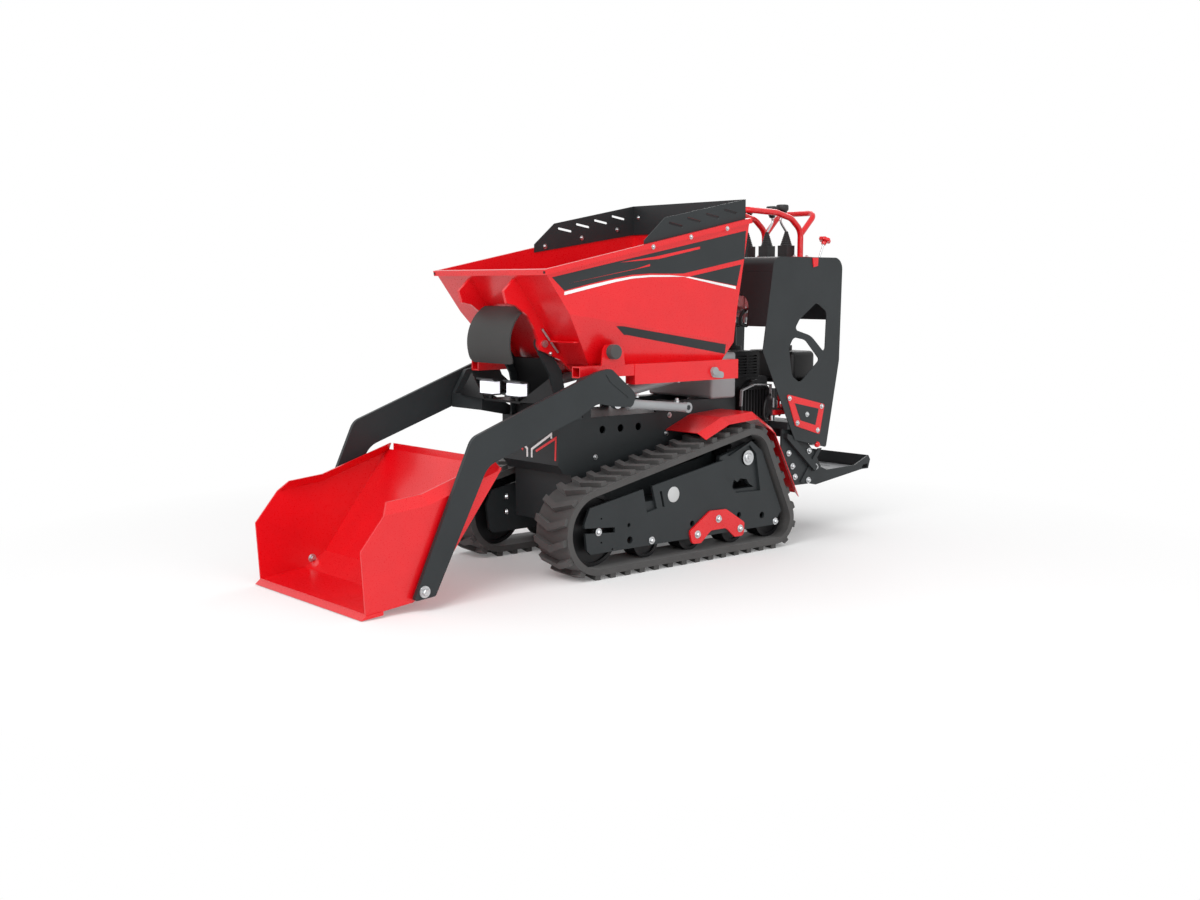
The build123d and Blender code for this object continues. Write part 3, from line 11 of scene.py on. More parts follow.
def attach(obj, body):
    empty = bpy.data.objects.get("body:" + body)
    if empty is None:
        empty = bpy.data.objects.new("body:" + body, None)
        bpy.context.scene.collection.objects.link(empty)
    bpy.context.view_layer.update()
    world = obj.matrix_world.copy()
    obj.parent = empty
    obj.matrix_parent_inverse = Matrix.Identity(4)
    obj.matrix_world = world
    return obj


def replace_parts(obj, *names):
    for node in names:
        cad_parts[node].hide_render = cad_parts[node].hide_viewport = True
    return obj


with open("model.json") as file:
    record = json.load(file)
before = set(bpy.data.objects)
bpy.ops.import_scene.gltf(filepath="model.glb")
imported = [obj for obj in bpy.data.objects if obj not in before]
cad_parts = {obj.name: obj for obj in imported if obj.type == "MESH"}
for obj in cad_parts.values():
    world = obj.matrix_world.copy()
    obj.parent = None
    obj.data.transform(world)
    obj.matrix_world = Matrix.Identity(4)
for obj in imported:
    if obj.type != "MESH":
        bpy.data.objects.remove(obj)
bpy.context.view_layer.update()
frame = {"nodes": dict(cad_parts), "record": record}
NODES = frame["nodes"]
SLOTS = {row["node"]: row["material_slot"] for row in frame["record"]["subparts"]}
MM = 0.001                   # places and sizes of the pieces below are in mm

# ---------------------------------------------------------------- colours (linear)
RED = (0.72, 0.003, 0.008)
CHARCOAL = (0.024, 0.028, 0.030)
BLACK = (0.010, 0.010, 0.011)
RUBBER = (0.052, 0.050, 0.049)
FLAP = (0.042, 0.042, 0.041)
STEEL = (0.56, 0.57, 0.58)
LIGHT_GREY = (0.30, 0.31, 0.32)
WHITE = (0.82, 0.82, 0.82)
CAST = (0.055, 0.055, 0.058)
CHROME = (0.72, 0.73, 0.75)
LAMP_BLACK = (0.02, 0.02, 0.022)
PALE = (0.52, 0.53, 0.53)
LENS = (0.93, 0.93, 1.0)
FLOOR = (0.94, 0.94, 0.94)


# ================================================================ materials
def new_material(name):
    material = bpy.data.materials.new(name)
    material.use_nodes = True
    tree = material.node_tree
    shader = tree.nodes["Principled BSDF"]
    return material, tree, shader


def noise_field(tree, scale, detail=3.0):
    """Object-space noise, the same from every side."""
    place = tree.nodes.new("ShaderNodeTexCoord")
    noise = tree.nodes.new("ShaderNodeTexNoise")
    noise.inputs["Scale"].default_value = scale
    noise.inputs["Detail"].default_value = detail
    tree.links.new(place.outputs["Object"], noise.inputs["Vector"])
    return noise


def remap(tree, source, low, high):
    """Maps a 0-1 value to the span low-high."""
    node = tree.nodes.new("ShaderNodeMapRange")
    node.inputs["From Min"].default_value = 0.3
    node.inputs["From Max"].default_value = 0.7
    node.inputs["To Min"].default_value = low
    node.inputs["To Max"].default_value = high
    tree.links.new(source, node.inputs["Value"])
    return node.outputs["Result"]


def finish_material(name, colour, metallic, rough, vary=0.10, patch=6.0, grain=900.0, bump=0.04,
                    bump_distance=0.0004, coat=0.0, coat_rough=0.1, sheen=0.0, specular=0.5):
    """A surface whose colour drifts over broad patches, with a fine grain in its gloss and relief."""
    material, tree, shader = new_material(name)
    broad = noise_field(tree, patch)
    fine = noise_field(tree, grain, 2.0)
    mix = tree.nodes.new("ShaderNodeMix")
    mix.data_type = "RGBA"
    mix.inputs["A"].default_value = (*[c * (1 - vary) for c in colour], 1)
    mix.inputs["B"].default_value = (*[min(1.0, c * (1 + vary)) for c in colour], 1)
    tree.links.new(remap(tree, broad.outputs["Fac"], 0.0, 1.0), mix.inputs["Factor"])
    tree.links.new(mix.outputs["Result"], shader.inputs["Base Color"])
    tree.links.new(remap(tree, fine.outputs["Fac"], rough - 0.04, rough + 0.04), shader.inputs["Roughness"])
    relief = tree.nodes.new("ShaderNodeBump")
    relief.inputs["Strength"].default_value = bump
    relief.inputs["Distance"].default_value = bump_distance
    tree.links.new(fine.outputs["Fac"], relief.inputs["Height"])
    tree.links.new(relief.outputs["Normal"], shader.inputs["Normal"])
    shader.inputs["Metallic"].default_value = metallic
    shader.inputs["Coat Weight"].default_value = coat
    shader.inputs["Coat Roughness"].default_value = coat_rough
    shader.inputs["Sheen Weight"].default_value = sheen
    shader.inputs["Specular IOR Level"].default_value = specular
    return material


def plain_light(name, colour, strength):
    """A lit lens: pale glass that glows a little."""
    material, tree, shader = new_material(name)
    grain = noise_field(tree, 400.0)
    tree.links.new(remap(tree, grain.outputs["Fac"], 0.04, 0.10), shader.inputs["Roughness"])
    shader.inputs["Base Color"].default_value = (*colour, 1)
    shader.inputs["Emission Color"].default_value = (*colour, 1)
    shader.inputs["Emission Strength"].default_value = strength
    return material


MATERIALS = {
    "red_paint": finish_material("red_paint", RED, 0.0, 0.30, vary=0.05, grain=260.0, bump=0.05, coat=0.2,
                                 coat_rough=0.12),
    "dark_paint": finish_material("dark_paint", CHARCOAL, 0.0, 0.42, vary=0.08, grain=1500.0, bump=0.10,
                                  specular=0.26),
    "black_paint": finish_material("black_paint", BLACK, 0.0, 0.38, vary=0.15, grain=1200.0, bump=0.08,
                                   specular=0.26),
    "grey_paint": finish_material("grey_paint", LIGHT_GREY, 0.0, 0.34, vary=0.05, grain=700.0),
    "track_rubber": finish_material("track_rubber", RUBBER, 0.0, 0.72, vary=0.14, patch=11.0, grain=420.0,
                                    bump=0.25, bump_distance=0.0008, sheen=0.15),
    "flap_rubber": finish_material("flap_rubber", FLAP, 0.0, 0.55, vary=0.08, grain=600.0, bump=0.12,
                                   specular=0.30),
    "black_plastic": finish_material("black_plastic", BLACK, 0.0, 0.50, vary=0.2, grain=1800.0, bump=0.2),
    "bright_steel": finish_material("bright_steel", STEEL, 1.0, 0.30, vary=0.08, grain=800.0),
    "chrome_rod": finish_material("chrome_rod", CHROME, 1.0, 0.10, vary=0.03, grain=300.0, bump=0.01),
    "engine_metal": finish_material("engine_metal", CAST, 0.6, 0.45, vary=0.2, grain=500.0, bump=0.3),
    "lamp_body": finish_material("lamp_body", LAMP_BLACK, 0.3, 0.40, grain=900.0),
    "white_mark": finish_material("white_mark", WHITE, 0.0, 0.35, vary=0.03, grain=600.0),
    "pale_mark": finish_material("pale_mark", PALE, 0.0, 0.40, vary=0.03, grain=600.0),
    "lens": plain_light("lens", LENS, 0.6),
}


def dress_cad_nodes():
    """Gives each carried-over CAD node the finish of its record slot."""
    for name, node in NODES.items():
        node.data.materials.clear()
        node.data.materials.append(MATERIALS[SLOTS[name]])
        soften(node)


def soften(node, angle=32.0):
    """Smooth shading over curved faces, with the edges sharper than the angle kept."""
    node.data.shade_smooth()
    node.data.set_sharp_from_angle(angle=math.radians(angle))


# ================================================================ piece building
def surface_frame(place, out):
    """A frame at a place in mm whose third axis points out; it also turns mm to metres."""
    facing = Vector(out).to_track_quat("Z", "Y").to_matrix().to_4x4()
    return Matrix.Translation(Vector(place) * MM) @ facing @ Matrix.Scale(MM, 4)


def side_frame(y):
    """A frame for (x, z) outlines on the plane at y, rising away from the machine's middle."""
    out = MM if y > 0 else -MM
    return Matrix(((MM, 0, 0, 0), (0, 0, out, y * MM), (0, MM, 0, 0), (0, 0, 0, 1)))


def front_frame(x):
    """A frame for (y, z) outlines on the plane at x, rising forwards."""
    return Matrix(((0, 0, MM, x * MM), (MM, 0, 0, 0), (0, MM, 0, 0), (0, 0, 0, 1)))


def top_frame(z):
    """A frame for (x, y) outlines at the height z, rising upwards."""
    return Matrix(((MM, 0, 0, 0), (0, MM, 0, 0), (0, 0, MM, z * MM), (0, 0, 0, 1)))


# for (x, z) outlines, with heights along y
CROSS = Matrix(((MM, 0, 0, 0), (0, 0, MM, 0), (0, MM, 0, 0), (0, 0, 0, 1)))


def add_plate(mesh, place, outline, low, high):
    """A flat plate: its outline swept between two heights of a frame."""
    lower = [mesh.verts.new(place @ Vector((u, v, low))) for u, v in outline]
    upper = [mesh.verts.new(place @ Vector((u, v, high))) for u, v in outline]
    mesh.faces.new(lower)
    mesh.faces.new(upper)
    for i in range(len(outline)):
        mesh.faces.new((lower[i - 1], lower[i], upper[i], upper[i - 1]))


def add_box(mesh, xs, ys, zs):
    """A box from its spans in mm along x, y and z."""
    outline = [(xs[0], ys[0]), (xs[1], ys[0]), (xs[1], ys[1]), (xs[0], ys[1])]
    add_plate(mesh, top_frame(0), outline, *zs)


def add_turned(mesh, place, profile, segments=24):
    """A turned shape from (radius, height) pairs, closed at both ends."""
    rings = []
    for radius, height in profile:
        turns = [2 * math.pi * i / segments for i in range(segments)]
        points = [Vector((radius * math.cos(a), radius * math.sin(a), height)) for a in turns]
        rings.append([mesh.verts.new(place @ point) for point in points])
    mesh.faces.new(rings[0])
    mesh.faces.new(rings[-1])
    join_rings(mesh, rings)


def join_rings(mesh, rings):
    for near, far in zip(rings, rings[1:]):
        for i in range(len(near)):
            mesh.faces.new((near[i - 1], near[i], far[i], far[i - 1]))


WASHER = ((0.92, 0), (0.92, 0.12), (0.86, 0.17))             # (radius, height) for a size of 1
BOLT_HEAD = ((0.57, 0.17), (0.57, 0.58), (0.47, 0.7))


def add_bolt(mesh, place, size):
    """A hexagon head, size across its flats, on a washer."""
    add_turned(mesh, place, [(r * size, h * size) for r, h in WASHER])
    add_turned(mesh, place, [(r * size, h * size) for r, h in BOLT_HEAD], 6)


def add_tube(mesh, points, radius, segments=12):
    """A round bar or hose along points in mm, smoothed between them."""
    path = smooth_path([Vector(point) * MM for point in points])
    tangents = [(b - a).normalized() for a, b in zip(path, path[1:])]
    tangents.append(tangents[-1])
    across = tangents[0].orthogonal().normalized()
    rings = []
    for i, (point, tangent) in enumerate(zip(path, tangents)):
        if i:
            across = tangents[i - 1].rotation_difference(tangent) @ across
        up = tangent.cross(across)
        turns = [2 * math.pi * k / segments for k in range(segments)]
        spokes = [(across * math.cos(a) + up * math.sin(a)) * radius * MM for a in turns]
        rings.append([mesh.verts.new(point + spoke) for spoke in spokes])
    mesh.faces.new(rings[0])
    mesh.faces.new(rings[-1])
    join_rings(mesh, rings)


def smooth_path(points, steps=6):
    """Points along a curve that passes through every given point."""
    if len(points) < 3:
        return points
    ends = [points[0] * 2 - points[1], *points, points[-1] * 2 - points[-2]]
    path = []
    for a, b, c, d in zip(ends, ends[1:], ends[2:], ends[3:]):
        for i in range(steps):
            t = i / steps
            path.append(0.5 * (2 * b + (c - a) * t + (2 * a - 5 * b + 4 * c - d) * t ** 2
                               + (3 * b - a - 3 * c + d) * t ** 3))
    return [*path, points[-1]]


def stroke(points, width):
    """The outline of a flat line of even width along (u, v) points, mitred at its bends."""
    left, right = [], []
    for i, point in enumerate(points):
        normals = []
        for a, b in ((i - 1, i), (i, i + 1)):
            if a >= 0 and b < len(points):
                along = (Vector(points[b]) - Vector(points[a])).normalized()
                normals.append(Vector((-along.y, along.x)))
        mean = sum(normals, Vector((0, 0))).normalized()
        reach = mean * (width / 2 / mean.dot(normals[0]))
        left.append(tuple(Vector(point) + reach))
        right.append(tuple(Vector(point) - reach))
    return left + right[::-1]


def finish_piece(name, body, finish, mesh):
    """Closes a piece: outward normals, its material and the CAD body it moves with."""
    bmesh.ops.recalc_face_normals(mesh, faces=mesh.faces)
    data = bpy.data.meshes.new(name)
    mesh.to_mesh(data)
    mesh.free()
    piece = bpy.data.objects.new(name, data)
    bpy.context.scene.collection.objects.link(piece)
    data.materials.append(MATERIALS[finish])
    soften(piece)
    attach(piece, body)
    return piece


def mirrored(outline):
    """The outline on the machine's other side."""
    return [(-u, v) for u, v in outline]


# ================================================================ bolts
SIDE_BOLTS = (               # piece, body, size, y of the face, (x, z) of each; on both sides
    ("track_frame_bolts", "chassis", 16, 370, ((362, 176), (96, 113), (-597, 109))),
    ("bogie_bolts", "chassis", 17, 378, ((-140, 109), (-256, 158), (-380, 105))),
    ("chassis_side_bolts", "chassis", 12, 172, ((208, 422), (-181, 560), (-165, 488), (-408, 541))),
    ("rear_bracket_bolts", "chassis", 15, 262,
     ((-796, 365), (-822, 307), (-839, 260), (-927, 365), (-973, 292), (-926, 238))),
    ("cover_bolts", "chassis", 12, 288, ((-767, 602), (-819, 495), (-951, 456), (-974, 557), (-880, 528))),
    ("rim_bolts", "skip", 10, 349, ((75, 1216), (-121, 1257), (-318, 1294))),
    ("shovel_pin_bolts", "arms", 22, 390, ((1135, 70),)),
)
BOARD_BOLTS = ((51, 1232), (-146, 1271), (-344, 1310))
BOARD_BOLT_SIZE = 11
BOARD_INNER_Y = 329


def build_side_bolts():
    """The bolts of the sides, mirrored to the far one."""
    for name, body, size, y, places in SIDE_BOLTS:
        mesh = bmesh.new()
        for x, z in places:
            for side in (1, -1):
                add_bolt(mesh, surface_frame((x, side * y, z), (0, side, 0)), size)
        finish_piece(name, body, "bright_steel", mesh)


def build_board_bolts():
    """The screws inside the skip that hold the side boards to the rim."""
    mesh = bmesh.new()
    for x, z in BOARD_BOLTS:
        for side in (1, -1):
            add_bolt(mesh, surface_frame((x, side * BOARD_INNER_Y, z), (0, -side, 0)), BOARD_BOLT_SIZE)
    finish_piece("board_bolts", "skip", "bright_steel", mesh)


# ================================================================ skip markings
SKIP_SIDE_Y = 338
MARK = (0.2, 0.9)            # how far a painted mark starts and ends above the sheet
PANEL = ((550, 1102), (-435, 1289), (-427, 1178), (-93, 1119), (-19, 1118), (82, 1118), (169, 1113),
         (254, 1101), (379, 1079), (494, 1055))
SWOOSH = ((494, 1051), (379, 1074), (254, 1096), (169, 1107), (82, 1112), (-19, 1112), (-110, 1107),
          (-19, 1106), (82, 1105), (169, 1099), (254, 1086), (379, 1062), (485, 1041), (495, 1040))
CORNER_PANEL = ((-128, 1108), (-409, 1156), (-386, 1072))
CORNER_STRIPE = ((-101, 1105), (-122, 1107), (-380, 1070), (-380, 1059))
RED_STREAKS = (((479, 1080), (147, 1136), (82, 1153), (82, 1145)),
               ((233, 1157), (60, 1180), (-179, 1222), (-179, 1213), (38, 1172)))
STRIP = ((244, 925), (213, 924), (-333, 842), (-342, 804), (176, 890), (198, 892))
LEAN_TOP = ((500, 338, 976), (-372, 338, 850))    # two points of the side wall's fold
LEAN_FOOT = (0, 292, 782)                         # a point at the floor's edge


def leaning_frame(side):
    """A frame for (x, z) outlines on the side wall below its fold."""
    (x0, y0, z0), (x1, y1, z1) = LEAN_TOP
    along = Vector((x1 - x0, y1 - y0, z1 - z0))
    down = Vector(LEAN_FOOT) - Vector((x0, y0, z0))
    normal = along.cross(down).normalized()
    if normal.y < 0:
        normal.negate()
    base = y0 + (normal.x * x0 + normal.z * z0) / normal.y
    slope_x, slope_z = -normal.x / normal.y, -normal.z / normal.y
    return Matrix(((MM, 0, 0, 0), (side * slope_x * MM, side * slope_z * MM, side * MM, side * base * MM),
                   (0, MM, 0, 0), (0, 0, 0, 1)))


def build_skip_markings():
    """Painted panel, swoosh and streaks on both sides of the skip."""
    marks = (
        ("skip_panels", "dark_paint", (PANEL, CORNER_PANEL), 0.0),
        ("skip_swooshes", "white_mark", (SWOOSH, CORNER_STRIPE), 0.3),
        ("skip_streaks", "red_paint", RED_STREAKS, 0.3),
    )
    for name, finish, outlines, lift in marks:
        mesh = bmesh.new()
        for side in (1, -1):
            for outline in outlines:
                add_plate(mesh, side_frame(side * SKIP_SIDE_Y), outline, MARK[0], MARK[1] + lift)
        finish_piece(name, "skip", finish, mesh)
    mesh = bmesh.new()
    for side in (1, -1):
        add_plate(mesh, leaning_frame(side), STRIP, *MARK)
    finish_piece("skip_strips", "skip", "dark_paint", mesh)


# ================================================================ chassis markings
CHASSIS_FRONT_X = 392
MOTIF_WIDTH = 9
MOTIF_WHITE = ((14, 421), (14, 453), (134, 520), (134, 503))
MOTIF_RED = ((40, 447), (161, 507), (157, 421))


def build_front_motif():
    """The folded white and red lines on the chassis front."""
    lines = (("motif_white", "white_mark", MOTIF_WHITE), ("motif_red", "red_paint", MOTIF_RED))
    for name, finish, line in lines:
        mesh = bmesh.new()
        outline = stroke(line, MOTIF_WIDTH)
        add_plate(mesh, front_frame(CHASSIS_FRONT_X), outline, *MARK)
        add_plate(mesh, front_frame(CHASSIS_FRONT_X), mirrored(outline), *MARK)
        finish_piece(name, "chassis", finish, mesh)


DISC = (-17, 278)            # (x, z) on the track frame
DISC_R = 30
TRACK_FACE_Y = 370
TAG = ((-899, 1190), (-935, 1190), (-933, 1156), (-906, 1150))
TOWER_Y = 285


def build_side_marks():
    """The pale disc on each track frame and the red tag on the tower's side."""
    mesh = bmesh.new()
    for side in (1, -1):
        place = surface_frame((DISC[0], side * TRACK_FACE_Y, DISC[1]), (0, side, 0))
        add_turned(mesh, place, ((DISC_R, 0), (DISC_R, 1.2), (DISC_R - 1, 1.8)), 48)
    finish_piece("frame_discs", "chassis", "pale_mark", mesh)
    mesh = bmesh.new()
    add_plate(mesh, side_frame(TOWER_Y), TAG, 0.1, 4)
    finish_piece("red_tag", "chassis", "red_paint", mesh)


# ================================================================ platform
TRAY_PLATE = ((-1052, -228), (-1052, 228), (-1335, 228), (-1335, -228))
TRAY_PLATE_Z = (256.1, 258.0)
TRAY_SLOTS = ((-1150, 150), (-1150, -150), (-1240, 75), (-1240, -75), (-1310, 0))
TRAY_SLOT = (44, 5)          # half length across the machine, half width


def build_tread_plate():
    """The pale steel plate in the platform, with black marks of painted shade for its drain slots."""
    mesh = bmesh.new()
    add_plate(mesh, top_frame(0), TRAY_PLATE, *TRAY_PLATE_Z)
    finish_piece("tread_plate", "platform", "grey_paint", mesh)
    # thin black plates on the tread plate: painted shade standing in for the open drain slots
    mesh = bmesh.new()
    half_length, half_width = TRAY_SLOT
    for x, y in TRAY_SLOTS:
        outline = ((x - half_width, y - half_length), (x + half_width, y - half_length),
                   (x + half_width, y + half_length), (x - half_width, y + half_length))
        add_plate(mesh, top_frame(TRAY_PLATE_Z[1]), outline, 0.1, 0.5)
    finish_piece("tread_slot_painted_shade", "platform", "black_paint", mesh)


# ================================================================ platform plungers
PLUNGER = (-955, 262, 393)
PLUNGER_BALL_R = 13


def ball_profile(radius, low, steps=8):
    """(radius, height) pairs of a ball whose lowest point is cut off where its neck starts."""
    turns = [math.radians(-60 + 150 * i / steps) for i in range(steps + 1)]
    return [(radius * max(math.cos(a), 0.02), low + radius * (1 + math.sin(a))) for a in turns]


def build_plungers():
    """The sprung pins that hold the platform, each with a red ball."""
    stems, balls = bmesh.new(), bmesh.new()
    x, y, z = PLUNGER
    for side in (1, -1):
        place = surface_frame((x, side * y, z), (0, side, 0))
        add_turned(stems, place, ((7, -20), (7, 2), (4, 4), (4, 12)), 16)
        add_turned(balls, place, ball_profile(PLUNGER_BALL_R, 8), 24)
    finish_piece("plunger_stems", "chassis", "bright_steel", stems)
    finish_piece("plunger_balls", "chassis", "red_paint", balls)


# ================================================================ lamps
LAMP_X = 511
LAMP_Y = 84
LAMP_STAND = ((9, 648), (9, 664))                                       # (radius, z) of the stub on the shelf
LAMP_PLATES = (              # dark parts of a lamp: spans in x, half width, span in z
    ((495, 500), 46, (663, 715)),
    ((495, 538), 46, (663, 668)),
)
LAMP_HOOD = ((505, 714), (505, 720), (541, 726), (541, 721), (529, 714))     # (x, z)
LAMP_HOOD_HALF = 52
LAMP_LIGHT = ((500, 531), 42, (668, 713))


def build_lamps():
    """Two lamps with a bright light block between a dark base and a hood."""
    dark, light = bmesh.new(), bmesh.new()
    for y in (LAMP_Y, -LAMP_Y):
        add_turned(dark, Matrix.Translation((LAMP_X * MM, y * MM, 0)) @ Matrix.Scale(MM, 4), LAMP_STAND)
        for xs, half, zs in LAMP_PLATES:
            add_box(dark, xs, (y - half, y + half), zs)
        add_plate(dark, CROSS, LAMP_HOOD, y - LAMP_HOOD_HALF, y + LAMP_HOOD_HALF)
        xs, half, zs = LAMP_LIGHT
        add_box(light, xs, (y - half, y + half), zs)
    bodies = finish_piece("lamp_bodies", "chassis", "lamp_body", dark)
    finish_piece("lamp_lights", "chassis", "lens", light)
    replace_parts(bodies, "work_lamps")


# ================================================================ levers and knobs
CONSOLE_TOP = 1192
BOOT_HALF, BOOT_BOX, BOOT_CONE, BOOT_TOP = 26, 55, 62, 9
BOOT_PLEATS = 8
PLEAT_DEPTH = 3.5
LEVER_R = 5
LEVERS = (                   # boot (x, y), then the bend and the knob as (x, z) from the boot's top
    ((-990, 57), (38, 40), (28, 62)),
    ((-990, -57), (-34, 42), (-32, 62)),
    ((-986, -172), (0, 38), (0, 60)),
)
KNOB = ((11, 0), (22, 24), (25, 26), (27, 32), (27, 44), (25, 50), (19, 52))    # (radius, height)


def build_levers():
    """Pleated boots, bright cranked stems and dark knobs."""
    boots, stems, knobs = bmesh.new(), bmesh.new(), bmesh.new()
    top = CONSOLE_TOP + BOOT_BOX + BOOT_CONE
    for (x, y), (bend_x, bend_z), (knob_x, knob_z) in LEVERS:
        add_boot(boots, x, y)
        bend = (x + bend_x, y, top + bend_z)
        add_tube(stems, ((x, y, top - 4), bend, (x + knob_x, y, top + knob_z + 2)), LEVER_R)
        add_turned(knobs, surface_frame((x + knob_x, y, top + knob_z), (0, 0, 1)), KNOB, 32)
    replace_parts(finish_piece("boots", "chassis", "black_plastic", boots), "lever_boots")
    finish_piece("lever_stems", "chassis", "bright_steel", stems)
    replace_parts(finish_piece("lever_knobs", "chassis", "black_plastic", knobs), "levers")


def add_boot(mesh, x, y):
    """A square skirt with a pleated bellows that narrows to the lever's stem."""
    add_box(mesh, (x - BOOT_HALF, x + BOOT_HALF), (y - BOOT_HALF, y + BOOT_HALF),
            (CONSOLE_TOP, CONSOLE_TOP + BOOT_BOX))
    profile = []
    step = BOOT_CONE / BOOT_PLEATS
    for i in range(BOOT_PLEATS):
        radius = BOOT_HALF + (BOOT_TOP - BOOT_HALF) * i / (BOOT_PLEATS - 1)
        profile += [(radius, i * step + 1), (radius, i * step + 3), (radius - PLEAT_DEPTH, (i + 1) * step)]
    add_turned(mesh, surface_frame((x, y, CONSOLE_TOP + BOOT_BOX), (0, 0, 1)), profile, 32)


STAR_FOOT = (-1056, 190, 1192)
STAR_HEAD = (-1082, 190, 1250)
STAR_R, STAR_HOLLOW, STAR_LOBES = 27, 5, 6
STAR_SPAN = (14, 30)         # how far past the stem's end the lobed head starts and ends
STEM_R = 4


def build_star_knob():
    """The lobed red pull knob on its bright stem."""
    stem, star = bmesh.new(), bmesh.new()
    add_tube(stem, (STAR_FOOT, STAR_HEAD), STEM_R)
    lean = Vector(STAR_HEAD) - Vector(STAR_FOOT)
    place = surface_frame(STAR_HEAD, lean)
    turns = [2 * math.pi * i / 72 for i in range(72)]
    reach = [STAR_R - STAR_HOLLOW * (1 - math.cos(STAR_LOBES * a)) / 2 for a in turns]
    low, high = STAR_SPAN
    rings = []
    for shrink, height in ((3, low), (0, low + 3), (0, high - 3), (3, high)):
        radii = [r - shrink for r in reach]
        points = [(r * math.cos(a), r * math.sin(a), height) for a, r in zip(turns, radii)]
        rings.append([star.verts.new(place @ Vector(point)) for point in points])
    star.faces.new(rings[0])
    star.faces.new(rings[-1])
    join_rings(star, rings)
    add_turned(star, place, ((10, 0), (11, 4), (11, low + 1)), 24)
    finish_piece("star_stem", "chassis", "bright_steel", stem)
    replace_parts(finish_piece("star_knob", "chassis", "red_paint", star), "stop_knob")


HOOP_BOLTS = ((-988, 105), (-1072, 105), (-988, -105), (-1072, -105))      # (x, y) on the hoop's feet
HOOP_FOOT_Z = 1198
HOOP_BOLT_SIZE = 11


def build_hoop_bolts():
    """The bolts through the hoop's foot plates."""
    mesh = bmesh.new()
    for x, y in HOOP_BOLTS:
        add_bolt(mesh, surface_frame((x, y, HOOP_FOOT_Z), (0, 0, 1)), HOOP_BOLT_SIZE)
    finish_piece("hoop_bolts", "chassis", "bright_steel", mesh)


# ================================================================ skip fittings
PROP_ROD = ((448, 152, 915), (373, 152, 826))
PROP_R = 5
PROP_BOLTS = ((438, 863), (404, 822))          # (x, z) on the gusset's outer face
PROP_BOLT_SIZE = 9
GUSSET_FACE_Y = 146
TUBE_END = (588, 341, 1119)                    # the open end of the rim's front tube
REAR_BOARD_BOLTS = ((-438, 300, 1362), (-438, -300, 1362))
REAR_BOLT_SIZE = 10


def build_skip_fittings():
    """The prop rod on the left gusset, its clips, and black discs of painted shade for the dark bores at the
    rim's front corners.
    """
    mesh = bmesh.new()
    add_tube(mesh, PROP_ROD, PROP_R)
    for x, z in PROP_BOLTS:
        add_bolt(mesh, surface_frame((x, GUSSET_FACE_Y, z), (0, 1, 0)), PROP_BOLT_SIZE)
    for place in REAR_BOARD_BOLTS:
        add_bolt(mesh, surface_frame(place, (1, 0, 0)), REAR_BOLT_SIZE)
    finish_piece("skip_fittings", "skip", "bright_steel", mesh)
    # black discs just inside the open tube ends: painted shade for the dark inside of each bore
    mesh = bmesh.new()
    x, y, z = TUBE_END
    for side in (1, -1):
        add_turned(mesh, surface_frame((x - 0.6, side * y, z), (1, 0, 0)), ((5, 0), (5, 0.5)), 20)
    finish_piece("rim_bore_painted_shade", "skip", "black_paint", mesh)


# ================================================================ running gear fittings
HUB = (-438, 364, 385)       # the middle of the drive motor's hub on its outer face
HUB_CAP = ((30, 0), (30, 1), (19, 1), (19, 4), (16, 6), (6, 6), (6, 9), (5, 10))
INSET = ((-800, 580), (-838, 505), (-935, 478), (-955, 548))
COVER_FACE_Y = 288
INNER_PIN = (1135, 70)       # (x, z) of the shovel's pin heads, seen inside
INNER_PIN_SIZE = 15
SHOVEL_INNER_Y = 359


def build_wheel_fittings():
    """Hub caps, the dark insets of the side covers and the shovel's inner pin heads."""
    mesh = bmesh.new()
    x, y, z = HUB
    for side in (1, -1):
        add_turned(mesh, surface_frame((x, side * y, z), (0, side, 0)), HUB_CAP, 32)
    finish_piece("hub_caps", "chassis", "bright_steel", mesh)
    mesh = bmesh.new()
    for side in (1, -1):
        add_plate(mesh, side_frame(side * COVER_FACE_Y), INSET, 0.1, 0.8)
    finish_piece("cover_insets", "chassis", "dark_paint", mesh)
    mesh = bmesh.new()
    x, z = INNER_PIN
    for side in (1, -1):
        add_bolt(mesh, surface_frame((x, side * SHOVEL_INNER_Y, z), (0, -side, 0)), INNER_PIN_SIZE)
    finish_piece("shovel_inner_bolts", "shovel", "bright_steel", mesh)


# ================================================================ engine bay
SHROUD_STRAP = ((-748, 560), (-742, 657), (-640, 662), (-566, 640), (-562, 575))    # (x, z) over the shroud
STRAP_YS = (196, 208)
CARB_BLOCKS = (              # finish, span in x, y and z
    ("red_paint", (-815, -752), (170, 222), (528, 548)),
    ("bright_steel", (-772, -752), (168, 216), (560, 640)),
    ("red_paint", (-792, -774), (172, 214), (556, 632)),
)
CHROME_BOWL = ((-800, 212, 575), ((22, 0), (24, 6), (21, 16), (14, 22), (5, 24)))
ENGINE_HOSES = (             # radius, points; black hoses and leads held by the engine
    (5, ((-752, 200, 620), (-700, 214, 590), (-690, 214, 530), (-720, 206, 508))),
    (4, ((-770, 205, 640), (-800, 214, 610), (-812, 214, 560), (-795, 206, 520))),
    (6, ((-600, 176, 500), (-640, 190, 490), (-700, 196, 505), (-740, 190, 530))),
    (7, ((-545, 120, 640), (-565, 140, 640), (-575, 150, 600), (-570, 150, 520))),
    (7, ((-545, 80, 640), (-562, 92, 640), (-570, 100, 600), (-566, 110, 520))),
)
VALVE_PORT = (-668, 970)     # (x, z) of the ports on the valve bank's front
VALVE_YS = (-130, -65, 0, 65, 130)
VALVE_UNION = ((17, 0), (17, 14), (13, 16), (13, 24))
VALVE_HOSE = (               # from its port: step in x, share of the port's y, step in z
    (10, 1, 0), (22, 1, -6), (26, 0.9, -30), (10, 0.8, -58), (-40, 0.7, -66),
)
VALVE_HOSE_R = 8


